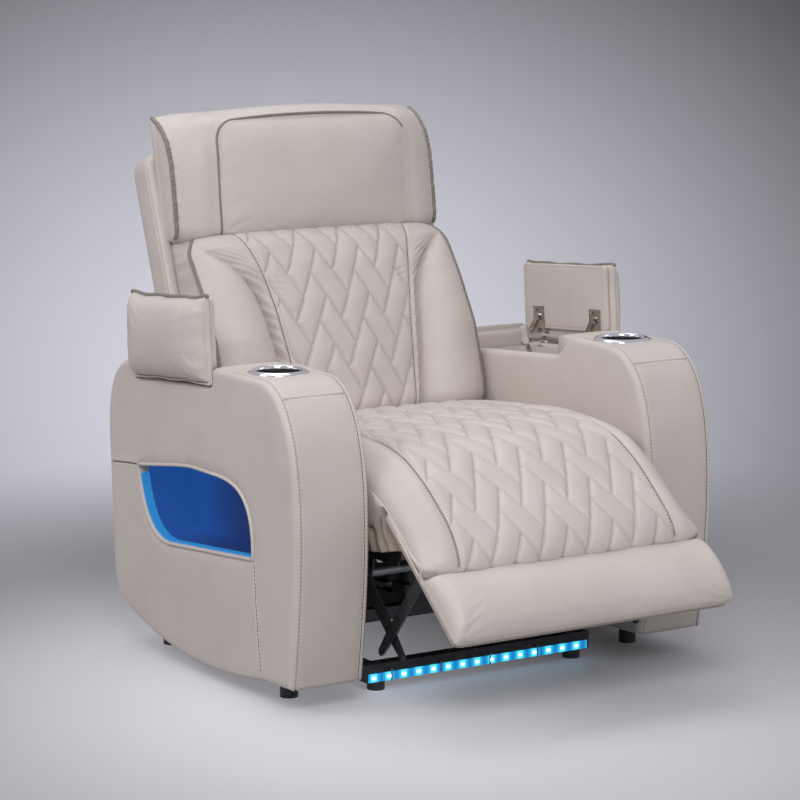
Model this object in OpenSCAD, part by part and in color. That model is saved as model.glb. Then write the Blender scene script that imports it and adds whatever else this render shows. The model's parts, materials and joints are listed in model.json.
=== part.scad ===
// Power recliner with storage arms, a fold-out leg rest, a reclining back
// and a tilting headrest, drawn as it stands with both arm lids open.
// +X is to the right seen from the front, the front faces -Y, +Z is up,
// and the origin lies on the floor in the middle of the whole chair.

/* [Chair] */
// Width over both arms
chair_w = 960; // [920:5:1000]
// Height of the arm tops above the floor
arm_h = 621; // [605:1:640]
// Distance from the origin forward to the bulge of the arms
arm_reach = 317; // [312:1:325]
// Depth of an arm from front to rear
arm_d = 762; // [750:1:790]
// Width of one arm
arm_w = 161; // [155:1:172]

/* [Arms] */
// Thickness of the padded side panels of an arm
panel_t = 22; // [18:1:24]
// Thickness of the top, rear and bottom boards of an arm
board_t = 20; // [16:1:22]
// Fall of the arm top towards the rear, in degrees
top_slope = 4.5; // [3:0.25:5.5]
// Length of the storage bin under a lid
bin_l = 320; // [290:5:325]
// Depth of the storage bin
bin_depth = 80; // [60:5:90]
// Wall of the bin and of the pocket liner
liner_wall = 4; // [3:0.5:5]
// Distance from the bin forward to the cup centre
cup_back = 118; // [112:1:124]
// Radius of the cup well inside
cup_r = 45.5; // [42:0.5:46]
// Depth of the cup well
cup_depth = 75; // [60:1:90]
// Width of the ring around the cup
cup_ring = 13; // [9:1:14]

/* [Lids] */
// Thickness of the board under a lid
lid_board_t = 9; // [7:1:10]
// Height of the padding above that board at its edge
lid_pad_t = 24; // [20:1:28]
// Rise of the padding in the middle of a lid
lid_crown = 12; // [6:1:16]
// Angle between the closed lid and the lid as drawn
lid_open = 90; // [80:1:95]
// Thickness of the hinge leaves
leaf_t = 2; // [1.5:0.5:2.5]
// Radius of the hinge pins
lid_pin_r = 2; // [1.5:0.25:2.5]

/* [Seat] */
// Height of the underside of the seat cushion
seat_base_z = 333; // [330:1:338]
// Thickness of the seat cushion at its side edges
seat_edge = 99; // [90:1:105]
// Rise of the seat cushion in the middle
seat_crown = 58; // [45:1:60]
// Length of the seat cushion
seat_l = 541; // [530:1:545]
// Gap between a cushion or the back and an arm
side_gap = 7; // [5:1:10]
// Height of the rails of the seat frame
rail_h = 60; // [50:1:64]
// Thickness of the rails of the seat frame
rail_t = 25; // [20:1:28]
// Number of wave springs under the seat cushion
spring_count = 6; // [4:1:7]

/* [Leg rest] */
// Angle of the leg rest below the horizontal, as drawn
leg_drop = 40; // [30:1:50]
// Length of the leg rest beyond its hinge
leg_l = 335; // [320:1:345]
// Thickness of the leg rest's board
leg_board_t = 12; // [9:1:15]
// Thickness of the leg rest's padding at its edge
leg_edge = 34; // [28:1:40]
// Rise of the leg rest's padding in the middle
leg_crown = 22; // [14:1:26]
// Length of the parallel links
link_l = 150; // [140:1:152]
// Thickness of the link plates
link_t = 5; // [4:0.5:6]

/* [Back] */
// Lean of the back behind the vertical, as drawn
back_lean = 20; // [15:1:24]
// Length of the back shell above the back hinge
shell_top = 690; // [670:5:700]
// Length of the back's frame above the back hinge
frame_top = 493; // [485:1:494]
// Length of the back shell below the back hinge
shell_drop = 100; // [70:5:105]
// Thickness of the padded back shell
shell_t = 30; // [20:1:34]
// Distance from the back hinge rearward to the shell's front face
frame_back = 105; // [100:1:110]
// Thickness of the boards in the back
back_board_t = 25; // [18:1:28]
// Thickness of the back cushion at its edges
back_edge = 127; // [110:1:132]
// Rise of the back cushion in the middle
back_crown = 30; // [20:1:40]
// Width of the shell's upper part
shell_w = 670; // [660:2:680]
// Depth of the rim that the shell's upper sides form around the headrest
shell_rim = 35; // [20:1:38]

/* [Headrest] */
// Lean of the headrest behind the vertical, as drawn
head_lean = 12; // [10:0.5:14]
// Height of the headrest
head_h = 264; // [245:1:270]
// Width of the headrest
head_w = 612; // [580:2:620]
// Thickness of the headrest at its edges
head_edge = 62; // [56:1:68]
// Rise of the headrest in the middle
head_crown = 74; // [60:1:80]

/* [Base] */
// Height of the feet
foot_h = 18; // [14:1:24]
// Radius of the feet
foot_r = 17.5; // [14:0.5:20]
// Height of the floor rails
base_h = 34; // [28:1:38]
// Radius of the turning cross tubes
tube_r = 12.5; // [11:0.5:14]
// Radius of the hinge rivets
rivet_r = 5; // [4:0.5:6]

/* [Hidden] */

leather = "#cfc8c3";
leather_dark = "#a59c95";
steel_black = "#2b2b2d";
steel = "#9a9ca0";
wood = "#c9a878";
chrome = "#d8dadd";
plastic_black = "#1c1c1e";
light_blue = "#2a6cff";
zinc = "#77787c";

curve_n = 12;
fine = 64;
pin_play = 0.05;
pivot_play = 0.3;
seat_gap = 0.3;
side_play = 3;

x_out = chair_w / 2;
x_in = x_out - arm_w;
cav_in = x_in + panel_t;
cav_out = x_out - panel_t;
cup_x = (cav_in + cav_out) / 2;

arm_front = -arm_reach;
arm_rear = arm_d - arm_reach;
toe_z = 53;
toe_back = 25;
deck_front = arm_front + 127;
rear_top_y = arm_rear - 115;
heel_y = arm_rear - 28;
heel_z = 98;
function top_z(y) = arm_h - max(y, 0) * tan(top_slope);

// lid seat: the closed lid's underside at the bin's front edge
lid_drop = lid_board_t + lid_pad_t + 5;
lid_seat_z = arm_h - lid_drop;
lid_x = x_out - 6;
lid_axis_z = lid_board_t + 6;
lid_end_gap = 4;
lid_l = bin_l - 2 * lid_end_gap;
lid_side = x_in + 1;
lid_over = 10;
mouth_z = -8;
knuckle_r = 4.5;
hinge_l = 40;
hinge_places = [0.16, 0.8];

// hinge lines as [y, z]
leg_pivot = [arm_front - 13, seat_base_z + 52];
tube_pos = leg_pivot + [120, -145];
back_pivot = [arm_front + 567, seat_base_z + 27];
head_pivot = back_pivot + [180, 452.5];

// the links stand a little lower than the leg rest, so that their eyes clear its board
link_tilt = 4;
link_dir = [-cos(leg_drop + link_tilt), -sin(leg_drop + link_tilt)];
link_end = tube_pos + link_l * link_dir;
leg_joint = leg_pivot + link_l * link_dir;

plate_t = 3;
plate_x = x_in - 57;
plate_out = plate_x + plate_t;
link_x = plate_out + side_play;
follow_x = link_x + link_t + 2;
rail_z = seat_base_z - 3 - rail_h;
rail_top = rail_z + rail_h;
rail_x = plate_x - rail_t;
rail_front = arm_front + 37;
rail_rear = arm_front + 402;
// the side plates rise to the back hinge from here, and the seat cushion clears them
rise_y = rail_rear + 46;
rise_z = seat_base_z + 59;
eye_r = 12;
lug_r = 22;
link_tail = 45;
board_rise = 4;
board_start = 20;

base_z = foot_h;
base_top = foot_h + base_h;
base_w = 30;
base_front = arm_front + 112;
base_rear = base_front + 535;

act_z = 140;
act_h = 20;
act_tube = 25;
act_y = [arm_front + 187, arm_front + 437];
crank_r = 60;
crank_x = 100;
crank_t = 8;
slot_play = 2.5;
crank_in = crank_x - crank_t / 2;
crank_out = crank_x + crank_t / 2;
carriage_l = 44;
slot_x = crank_out + 1;
leg_swing = [50, 40];
back_swing = [3, 45];
leg_crank_lead = (leg_swing[1] - leg_swing[0]) / 2;
back_crank_lead = (back_swing[1] - back_swing[0]) / 2;
leg_pin = tube_pos + crank_r * [sin(leg_crank_lead), -cos(leg_crank_lead)];
back_pin = back_pivot + crank_r * [sin(back_crank_lead), -cos(back_crank_lead)];

seat_w = 2 * (x_in - side_gap);
seat_front = leg_pivot[0] + eye_r + 2;
back_half = x_in - side_gap - 2;
stile_start = 60;
board_h = 70;
// height of the back cushion's underside
cushion_z = seat_base_z + 145;

head_hinge_x = 150;
head_eye_r = 7;
head_rivet_r = 3;
head_board_t = 12;
head_base = -76;
head_board_y = 35;
head_inset = 20;
// the headrest hinge in the back's frame
head_eye = head_pivot - back_pivot;
head_eye_back = [head_eye * [sin(back_lean), cos(back_lean)],
    head_eye * [-cos(back_lean), sin(back_lean)]];

// controls on the inner face of the left arm
switch_y = arm_front + 187;
switch_z = arm_h - 91;
switch_pitch = 40;
plate_h = 44;
plate_l = 90;
switch_plate_t = 4;
rocker_h = 28;
rocker_w = 24;

// points on a cubic curve from a to d, drawn towards b and c
function curve(a, b, c, d, n = curve_n) = [for (i = [0:n]) let (t = i / n, s = 1 - t)
    s * s * s * a + 3 * s * s * t * b + 3 * s * t * t * c + t * t * t * d];
function flip(p) = [for (i = [len(p) - 1:-1:0]) p[i]];

// drawn in the plane of Y and Z, between x0 and x1
module across(x0, x1) {
    translate([x0, 0, 0]) rotate([90, 0, 90]) linear_extrude(x1 - x0) children();
}
module pin(p, r, x0, x1) {
    translate([x0, p[0], p[1]]) rotate([0, 90, 0]) cylinder(h = x1 - x0, r = r, $fn = fine);
}
module block(lo, hi) {
    translate(lo) cube(hi - lo);
}
module both_sides() {
    children();
    mirror([1, 0, 0]) children();
}
module disc(p, r) {
    translate(p) circle(r = r, $fn = 32);
}

// the frame of a closed lid: x as the chair's, y along the bin, z up from the lid seat
module lid_frame() {
    translate([0, 0, lid_seat_z]) rotate([-top_slope, 0, 0]) children();
}
module lid_opened() {
    lid_frame() translate([lid_x, 0, lid_axis_z]) rotate([0, lid_open, 0])
        translate([-lid_x, 0, -lid_axis_z]) children();
}
// the leg rest's frame: y runs out along it from the hinge, z stands off its face
module leg_frame() {
    translate([0, leg_pivot[0], leg_pivot[1]]) rotate([leg_drop, 0, 0])
        rotate([0, 0, 180]) children();
}
// the back's frame: y runs up along it from the hinge, z points to the sitter
module back_frame() {
    translate([0, back_pivot[0], back_pivot[1]]) rotate([90 - back_lean, 0, 0]) children();
}
module head_frame() {
    translate([0, head_pivot[0], head_pivot[1]]) rotate([90 - head_lean, 0, 0]) children();
}

// A padded panel w wide and l long on the plane z = 0. Its edge stands edge high,
// the middle rises by crown, more at one end by tilt, and its sides are drawn in by
// pull. Seams across at the shares seams_u of half the width and seams_v of the
// length sink by sink. start and stop slope the two ends along the thickness. The
// rise falls off more steeply at the ends as first and ends grow.
function bell(d, w) = exp(-d * d / (w * w));
module pad(w, l, edge, crown, tilt = 0, pull = 5, cols = 20, rows = 12,
           seams_u = [], seams_v = [], sink = 9, start = 0, stop = 0, first = 4, ends = 4,
           droop = 0) {
    us = [for (i = [0:cols]) sin(90 * (2 * i / cols - 1))];
    vs = [for (j = [0:rows]) (1 + sin(90 * (2 * j / rows - 1))) / 2];
    function swell(u, v) = (1 - pow(abs(u), 3)) * (1 - pow(abs(2 * v - 1), v < 0.5 ? first : ends));
    function dip(u, v) = sink * swell(u, v) * (
        max([for (s = concat(seams_u, [9])) bell(abs(u) - s, 0.05)]) +
        max([for (s = concat(seams_v, [9])) bell(v - s, 0.05)]));
    function rise(u, v) = edge - droop * pow(v, 6)
        + crown * (1 + tilt * (2 * v - 1)) * swell(u, v) - dip(u, v);
    function place(u, v, z, inset) = [
        u * (w / 2 - inset - pull * (1 - pow(2 * v - 1, 4))),
        l * v - (2 * v - 1) * (inset + pull * (1 - pow(u, 4)))
            - z * (start * (1 - v) + stop * v),
        z];
    top = [for (v = vs) for (u = us) place(u, v, rise(u, v), 0)];
    n = cols + 1;
    loop = concat(
        [for (i = [0:cols]) [i, 0]], [for (j = [1:rows]) [cols, j]],
        [for (i = [cols - 1:-1:0]) [i, rows]], [for (j = [rows - 1:-1:1]) [0, j]]);
    m = len(loop);
    foot = [for (p = loop) place(us[p[0]], vs[p[1]], 0, 3)];
    base = len(top);
    rim = [for (p = loop) p[1] * n + p[0]];
    top_faces = [for (j = [0:rows - 1]) for (i = [0:cols - 1])
        let (a = j * n + i) each [[a, a + n, a + n + 1], [a, a + n + 1, a + 1]]];
    side_faces = [for (k = [0:m - 1]) let (q = (k + 1) % m)
        each [[rim[k], rim[q], base + q], [rim[k], base + q, base + k]]];
    polyhedron(concat(top, foot), concat(top_faces, side_faces,
        [[for (k = [0:m - 1]) base + k]]), convexity = 6);
}

// the side view of an arm
front_curve = curve([arm_front + toe_back, toe_z], [arm_front - 13, 0.48 * arm_h],
    [arm_front - 31, arm_h - 21], [deck_front, arm_h]);
front_inner = curve([arm_front + toe_back + panel_t, toe_z],
    [arm_front - 13 + panel_t + 2, 0.48 * arm_h],
    [arm_front - 31 + panel_t + 8, arm_h - 21 - board_t - 4], [deck_front, arm_h - board_t]);
rear_z = top_z(rear_top_y);
rear_curve = curve([rear_top_y, rear_z], [arm_rear - 30, rear_z - 6],
    [arm_rear + 3, rear_z - 65], [arm_rear, rear_z - 165]);
rear_web = 18;
web_y = bin_l + rear_web;
rear_inner = curve([web_y, top_z(web_y) - board_t], [arm_rear - 30 - board_t / 2, rear_z - 6 - board_t],
    [arm_rear - board_t, rear_z - 65 - board_t / 2], [arm_rear - board_t, rear_z - 165]);
bottom_curve = curve([heel_y, heel_z], [arm_rear - 215, 20], [arm_front + 347, 10],
    [arm_front + 132, toe_z - 5]);
bottom_inner = curve([heel_y - 22, heel_z], [arm_rear - 230, 20 + board_t], [arm_front + 347, 10 + board_t],
    [arm_front + 132, toe_z - 5 + board_t]);
arm_outline = concat(front_curve, [[0, arm_h]], rear_curve,
    [[arm_rear - 15, 150]], bottom_curve);

pocket_tip = [arm_front + 626, 381];
pocket_toe = [arm_front + 163, 280];
pocket_outline = concat(
    curve(pocket_tip, pocket_tip + [-14, -71], pocket_tip + [-49, -136], pocket_tip + [-131, -132]),
    curve(pocket_toe, pocket_toe + [-1, 90], pocket_toe + [29, 132], pocket_toe + [134, 132]),
    curve(pocket_toe + [234, 132], pocket_toe + [300, 128], pocket_tip + [-90, 12], pocket_tip, 6));

module lid_notch(depth, slant) {
    across(0, chair_w) polygon([[-slant, lid_drop * 3], [0, depth],
        [bin_l, depth], [bin_l, lid_drop * 3]]);
}
module outer_panel() {
    color(leather) difference() {
        across(cav_out, x_out) polygon(arm_outline);
        lid_frame() lid_notch(mouth_z, 0);
        across(cav_out - 1, x_out + 1) polygon(pocket_outline);
    }
}
module inner_panel() {
    color(leather) difference() {
        across(x_in, cav_in) polygon(arm_outline);
        lid_frame() lid_notch(-seat_gap - leaf_t, 60);
    }
}
module arm_front_panel() {
    color(leather) across(cav_in, cav_out) polygon(concat(front_curve, flip(front_inner)));
}
module arm_deck() {
    color(leather) difference() {
        block([cav_in, deck_front, arm_h - board_t], [cav_out, 0, arm_h]);
        translate([cup_x, -cup_back, 0]) cylinder(h = arm_h + 1, r = cup_r + 2.5, $fn = fine);
    }
}
module arm_rear_block() {
    web_drop = 130;
    color(leather) across(cav_in, cav_out) {
        polygon(concat([[bin_l, top_z(bin_l)]], rear_curve, [[arm_rear - 15, 150], [heel_y, heel_z],
            [heel_y - 22, heel_z], [arm_rear - 15 - board_t, 150]], flip(rear_inner),
            [[web_y, top_z(bin_l) - web_drop], [bin_l, top_z(bin_l) - web_drop]]));
    }
}
module arm_bottom_board() {
    front_y = arm_front + toe_back + panel_t;
    color(wood) across(cav_in, cav_out) polygon(concat(bottom_curve,
        [[front_y, toe_z], [front_y, toe_z + board_t - 2]], flip(bottom_inner)));
}
module storage_bin() {
    w = cav_out - leaf_t - cav_in;
    color(plastic_black) lid_frame() translate([cav_in, 2, mouth_z - bin_depth]) difference() {
        cube([w, bin_l - 6, bin_depth]);
        translate([liner_wall, liner_wall, liner_wall]) linear_extrude(bin_depth)
            offset(r = 10, $fn = 24) translate([10, 10])
            square([w - 2 * liner_wall - 20, bin_l - 6 - 2 * liner_wall - 20]);
    }
}
module side_pocket() {
    low = [cav_in, pocket_toe[0] - 6, pocket_tip[1] - 139];
    high = [cav_out, pocket_tip[0] + 3, pocket_toe[1] + 136];
    color("#22304f") difference() {
        block([cav_in, low[1] - liner_wall, low[2] - liner_wall], high + [0, liner_wall, liner_wall]);
        block(low + [liner_wall, 0, 0], high + [1, 0, 0]);
    }
}
module pocket_light() {
    strip = 2;
    color(light_blue) across(cav_out + 1, x_out - 3) difference() {
        polygon(pocket_outline);
        offset(delta = -strip) polygon(pocket_outline);
        polygon([pocket_toe + [-20, 8], pocket_tip + [20, -10], pocket_tip + [20, 90],
            pocket_toe + [-20, 190]]);
    }
}
module cup_holder() {
    wall = 1.5;
    ring_h = 5;
    rim = cup_r + cup_ring;
    color(chrome) translate([cup_x, -cup_back, arm_h]) rotate_extrude($fn = fine) polygon([
        [0, wall - cup_depth], [cup_r - 6, wall - cup_depth], [cup_r, 6 - cup_depth],
        [cup_r, ring_h - 2], [cup_r + 2, ring_h], [rim - 4, ring_h], [rim, 2], [rim, 0],
        [cup_r + wall, 0], [cup_r + wall, 5 - cup_depth], [cup_r - 5, -cup_depth], [0, -cup_depth]]);
}

// hinges of a lid, drawn as on the closed lid
module hinge_round(y0, y1, r) {
    translate([lid_x, y0, lid_axis_z]) rotate([-90, 0, 0]) cylinder(h = y1 - y0, r = r, $fn = 32);
}
module hinge_profile(y0, y1, points) {
    translate([0, y1, 0]) rotate([90, 0, 0]) linear_extrude(y1 - y0) polygon(points);
}
module fixed_leaf(y) {
    half = hinge_l / 2;
    mid = 7;
    hinge_profile(y - half, y + half, [[cav_out - leaf_t, -40], [cav_out, -40],
        [cav_out, mouth_z + 1], [cav_out - leaf_t, mouth_z + 1]]);
    hinge_profile(y - mid, y + mid, [[cav_out - leaf_t, mouth_z], [cav_out, mouth_z],
        [lid_x - 2, lid_axis_z - 3], [lid_x - knuckle_r, lid_axis_z - 0.5]]);
    hinge_round(y - mid, y + mid, knuckle_r);
    hinge_round(y - half, y + half, lid_pin_r);
}
module moving_leaf(y) {
    half = hinge_l / 2;
    mid = 7.5;
    leaf_w = 48;
    edge_x = cav_out;
    difference() {
        union() {
            hinge_profile(y - half, y + half, [[edge_x - leaf_w, -leaf_t], [edge_x, -leaf_t],
                [edge_x, 0], [edge_x - leaf_w, 0]]);
            for (e = [[y - half, y - mid], [y + mid, y + half]]) {
                hinge_profile(e[0], e[1], [[edge_x - 1, -leaf_t], [edge_x, -leaf_t],
                    [lid_x - 1.5, lid_axis_z - 3], [lid_x - knuckle_r, lid_axis_z],
                    [edge_x, 0], [edge_x - 1, 0]]);
                hinge_round(e[0], e[1], knuckle_r);
            }
        }
        hinge_round(y - half - 1, y + half + 1, lid_pin_r + pin_play);
    }
}
module arm_hinge_leaves() {
    color(zinc) both_sides() lid_frame() for (f = hinge_places) fixed_leaf(bin_l * f);
}
module lid_hinge_leaves() {
    color(zinc) lid_opened() for (f = hinge_places) moving_leaf(bin_l * f);
}
module lid_board() {
    color(plastic_black) lid_opened()
        block([lid_side, lid_end_gap, 0], [cav_out, lid_end_gap + lid_l, lid_board_t]);
}
module lid_cushion() {
    w = lid_x + lid_over - lid_side + 3;
    color(leather) lid_opened() difference() {
        translate([lid_side - 3 + w / 2, lid_end_gap, lid_board_t])
            pad(w, lid_l, lid_pad_t, lid_crown, pull = 2, cols = 10, rows = 10);
        block([cav_out + 0.5, -1, lid_board_t - 1],
            [x_out + 20, bin_l + 1, lid_axis_z + knuckle_r + 1]);
    }
}

module base_cross_rails() {
    x = plate_x;
    color(steel_black) for (y = [base_front, base_rear - base_w])
        block([-x, y, base_z], [x, y + base_w, base_top]);
}
module base_side_rails() {
    color(steel_black) both_sides() block([plate_x - base_w, base_front + base_w, base_z],
        [plate_x, base_rear - base_w, base_top]);
}
module feet() {
    rail_foot_x = plate_x - 32;
    color(plastic_black) both_sides() {
        for (y = [base_front + base_w / 2, base_rear - base_w / 2])
            translate([rail_foot_x, y, 0]) cylinder(h = foot_h, r = foot_r, $fn = fine);
        difference() {
            for (y = [arm_front + 167, arm_rear - 115])
                translate([cup_x, y, 0]) cylinder(h = heel_z, r = foot_r, $fn = fine);
            across(cav_in, cav_out) polygon(concat(bottom_curve,
                [[arm_front, toe_z], [arm_front, 3 * heel_z], [arm_rear, 3 * heel_z]]));
        }
    }
}
module light_strip() {
    color(light_blue) block([6 - plate_x, base_front - 3, base_z],
        [plate_x - 6, base_front, base_top - 18]);
}
module uprights() {
    color(steel_black) both_sides() for (y = act_y)
        block([rail_x, y, base_top], [plate_x, y + rail_t, rail_z]);
}
module actuator_cross_tubes() {
    color(steel_black) for (y = act_y)
        block([-rail_x, y, act_z - act_tube], [rail_x, y + rail_t, act_z]);
}
module side_plate() {
    low = rail_z;
    neck = [leg_pivot[0] + eye_r, low + eye_r];
    color(steel_black) difference() {
        across(plate_x, plate_out) {
            disc(leg_pivot, eye_r);
            translate([leg_pivot[0] - board_rise + 1, neck[1]])
                square([eye_r + board_rise, leg_pivot[1] - neck[1]]);
            hull() {
                disc(neck, eye_r);
                translate([tube_pos[0] - lug_r, low]) square([2 * lug_r, rail_h]);
            }
            hull() {
                disc(tube_pos, lug_r);
                translate([tube_pos[0] - lug_r - 8, low]) square([2 * lug_r + 16, 10]);
            }
            translate([tube_pos[0], low]) square([rise_y - tube_pos[0] + 1, rail_h]);
            hull() {
                translate([rise_y, low]) square([1, rail_h]);
                disc(back_pivot, lug_r);
            }
        }
        pin(leg_pivot, rivet_r, plate_x - 1, plate_out + 1);
        for (p = [tube_pos, back_pivot]) pin(p, tube_r + 2, plate_x - 1, plate_out + 1);
    }
}
module arm_brackets() {
    color(steel_black) both_sides() for (y = [arm_front + 257, arm_front + 377])
        block([plate_out, y, rail_z + 15], [x_in, y + 40, rail_top - 5]);
}
module leg_hinge_rivets() {
    color(steel) both_sides() {
        pin(leg_pivot, rivet_r, plate_x, link_x + link_t + 0.5);
        pin(leg_pivot, rivet_r + 3, plate_x - 3, plate_x);
        pin(leg_pivot, rivet_r + 3, link_x + link_t + 0.5, link_x + link_t + 2);
    }
}
module tube_bushes() {
    color(plastic_black) both_sides() for (p = [tube_pos, back_pivot]) difference() {
        union() {
            pin(p, tube_r + 2, plate_x, plate_out);
            pin(p, tube_r + 5, plate_out, plate_out + 2);
        }
        pin(p, tube_r + pin_play, plate_x - 1, plate_out + 3);
    }
}

module seat_cross_rails() {
    color(wood) for (y = [rail_front, rail_rear - rail_t])
        block([-plate_x, y, rail_z], [plate_x, y + rail_t, rail_top]);
}
module seat_side_rails() {
    color(wood) both_sides() block([rail_x, rail_front + rail_t, rail_z],
        [plate_x, rail_rear - rail_t, rail_top]);
}
// a flat wave spring from the front rail to the rear rail
module wave_spring() {
    wire = 3;
    sway = 22;
    waves = 9;
    reach = rail_rear - rail_front;
    steps = waves * 8;
    function wave(i, side) = [sway * sin(360 * waves * i / steps) + side * wire / 2,
        rail_front + reach * i / steps];
    translate([0, 0, rail_top]) linear_extrude(wire - seat_gap) polygon(concat(
        [for (i = [0:steps]) wave(i, -1)], [for (i = [steps:-1:0]) wave(i, 1)]));
}
module seat_springs() {
    pitch = 2 * rail_x / spring_count;
    color(steel) for (i = [0:spring_count - 1])
        translate([pitch * (i - (spring_count - 1) / 2), 0, 0]) wave_spring();
}
module seat_cushion() {
    color(leather) difference() {
        translate([0, seat_front, seat_base_z])
            pad(seat_w, seat_l, seat_edge, seat_crown, pull = 4, cols = 20, rows = 16,
                seams_u = [0.78], start = 0.02, first = 16, ends = 6);
        block([-seat_w, rise_y, seat_base_z - 1], [seat_w, rise_y + seat_l, rise_z]);
    }
}
module rear_panel() {
    front = arm_front + 712;
    color(plastic_black) difference() {
        block([-x_in, front, 110], [x_in, front + 12, seat_base_z - 71]);
        block([-16, front - 1, 128], [16, front + 13, 148]);
    }
}
module power_box() {
    front = arm_front + 712;
    color(plastic_black) difference() {
        union() {
            block([-80, front - 42, 114], [80, front, 162]);
            block([-15.7, front - 1, 128.3], [15.7, front + 8, 147.7]);
        }
        translate([0, front + 9, 138]) rotate([90, 0, 0]) difference() {
            cylinder(h = 14, r = 6, $fn = 32);
            translate([0, 0, -1]) cylinder(h = 16, r = 1.5, $fn = 32);
        }
    }
}

module leg_rest_board() {
    color(wood) leg_frame() block([10 - seat_w / 2, board_start, board_rise],
        [seat_w / 2 - 10, leg_l - 14, board_rise + leg_board_t]);
}
module leg_rest_pad() {
    color(leather) leg_frame() translate([0, board_start + 5, board_rise + leg_board_t])
        pad(seat_w - 14, leg_l - board_start - 5, leg_edge, leg_crown, tilt = -0.1, pull = 4,
            cols = 20, rows = 16, seams_u = [0.8], seams_v = [0.55], sink = 10, first = 16, droop = 10);
}
module leg_rest_brackets() {
    joint = link_l * [cos(link_tilt), -sin(link_tilt)];
    color(steel_black) both_sides() {
        leg_frame() difference() {
            across(-link_x - link_t, -link_x) difference() {
                union() {
                    hull() {
                        disc([0, 0], eye_r);
                        disc(joint, eye_r);
                    }
                    hull() {
                        disc(joint, eye_r);
                        translate([leg_l - 60, board_rise - 12]) square(12);
                    }
                    translate([board_start, 0]) square([link_l, board_rise]);
                }
                translate([board_start - 1, board_rise]) square([leg_l, 20]);
            }
            translate([-link_x - link_t - 1, 0, 0]) rotate([0, 90, 0])
                cylinder(h = link_t + 2, r = rivet_r + pin_play, $fn = fine);
        }
        pin(leg_joint, rivet_r, link_x + 1, follow_x + link_t + 1.5);
        pin(leg_joint, rivet_r + 3, follow_x + link_t + 1, follow_x + link_t + 2.5);
    }
}
module crank(pivot, pin_pos, side) {
    x0 = side > 0 ? crank_in : -crank_out;
    translate([x0, 0, 0]) rotate([90, 0, 90]) linear_extrude(crank_t) hull() {
        disc(pivot, tube_r + 6);
        disc(pin_pos, 9);
    }
    pin_x = side > 0 ? crank_out : -crank_out - crank_t - 2;
    pin(pin_pos, rivet_r, pin_x, pin_x + crank_t + 2);
}
module torque_tube() {
    color(steel) {
        pin(tube_pos, tube_r, -link_x, link_x);
        crank(tube_pos, leg_pin, 1);
    }
}
module drive_links() {
    tail = tube_pos + (link_l + link_tail) * link_dir;
    color(steel_black) both_sides() {
        across(link_x, link_x + link_t) {
            hull() {
                disc(tube_pos, tube_r + 5);
                disc(link_end, eye_r);
            }
            hull() {
                disc(link_end, eye_r);
                disc(tail, 8);
            }
        }
        pin(link_end, rivet_r, link_x + link_t, follow_x + link_t + 1);
        pin(link_end, rivet_r + 3, follow_x + link_t + 0.5, follow_x + link_t + 2);
    }
}
module follow_links() {
    back_dir = (link_end - leg_joint) / norm(leg_joint - link_end);
    tail = link_end + link_tail * back_dir;
    color(steel_black) both_sides() difference() {
        across(follow_x, follow_x + link_t) {
            hull() {
                disc(leg_joint, eye_r);
                disc(link_end, eye_r);
            }
            hull() {
                disc(link_end, eye_r);
                disc(tail, 8);
            }
        }
        pin(leg_joint, rivet_r + pivot_play, follow_x - 1, follow_x + link_t + 1);
        pin(link_end, rivet_r + pin_play, follow_x - 1, follow_x + link_t + 1);
    }
}

// a motor with its gearbox on the end of a guide rail
module actuator(side, y0, y1, motor_y) {
    rail_w = 36;
    screw_r = 6;
    x = side * (crank_x + crank_t + 4);
    block([x - rail_w / 2, y0, act_z], [x + rail_w / 2, y1, act_z + 4]);
    for (e = [-1, 1])
        block([x + e * rail_w / 2 - 2, y0, act_z], [x + e * rail_w / 2 + 2, y1, act_z + act_h - 4]);
    end = motor_y > (y0 + y1) / 2 ? y1 : y0;
    gear_l = 50;
    gear_y = end == y1 ? y1 - gear_l : y0;
    block([x - 26, gear_y, act_z], [x + 26, gear_y + gear_l, act_z + 44]);
    translate([x, gear_y + gear_l / 2, act_z + 44]) cylinder(h = 62, r = 24, $fn = fine);
}
module leg_actuator() {
    color("#3a3b3f") actuator(1, leg_pin[0] - 70, act_y[1] + rail_t, act_y[1]);
}
module back_actuator() {
    color("#3a3b3f") actuator(-1, act_y[0] - 20, act_y[1] + rail_t, act_y[0] - 20);
}
module carriage_block(side, y) {
    x = side * (crank_x + crank_t + 4);
    block([x - 15.7, y - carriage_l / 2, act_z + 4 + seat_gap],
        [x + 15.7, y + carriage_l / 2, act_z + act_h + 8]);
}
module slot(p, reach) {
    r = rivet_r + slot_play;
    for (d = [-reach, reach]) pin(p + [0, d], r, -2 * crank_x, 2 * crank_x);
    block([-2 * crank_x, p[0] - r, p[1] - reach], [2 * crank_x, p[0] + r, p[1] + reach]);
}
module leg_carriage() {
    reach = 12;
    color(zinc) difference() {
        union() {
            carriage_block(1, leg_pin[0]);
            across(slot_x, slot_x + 7) hull() {
                translate([leg_pin[0] - 20, act_z + 10]) square([40, 10]);
                disc(leg_pin + [0, 20], 15);
            }
        }
        slot(leg_pin + [0, 9], reach);
    }
}
module back_carriage() {
    reach = 7;
    block_y = act_y[0] + 100;
    color(zinc) difference() {
        union() {
            carriage_block(-1, block_y);
            across(-slot_x - 7, -slot_x) {
                hull() {
                    translate([block_y - 20, act_z + 10]) square([40, 16]);
                    disc(back_pin + [-50, -4], 14);
                }
                hull() {
                    disc(back_pin + [-50, -4], 14);
                    disc(back_pin, 17);
                }
            }
        }
        slot(back_pin + [0, -1], reach);
    }
}

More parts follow.
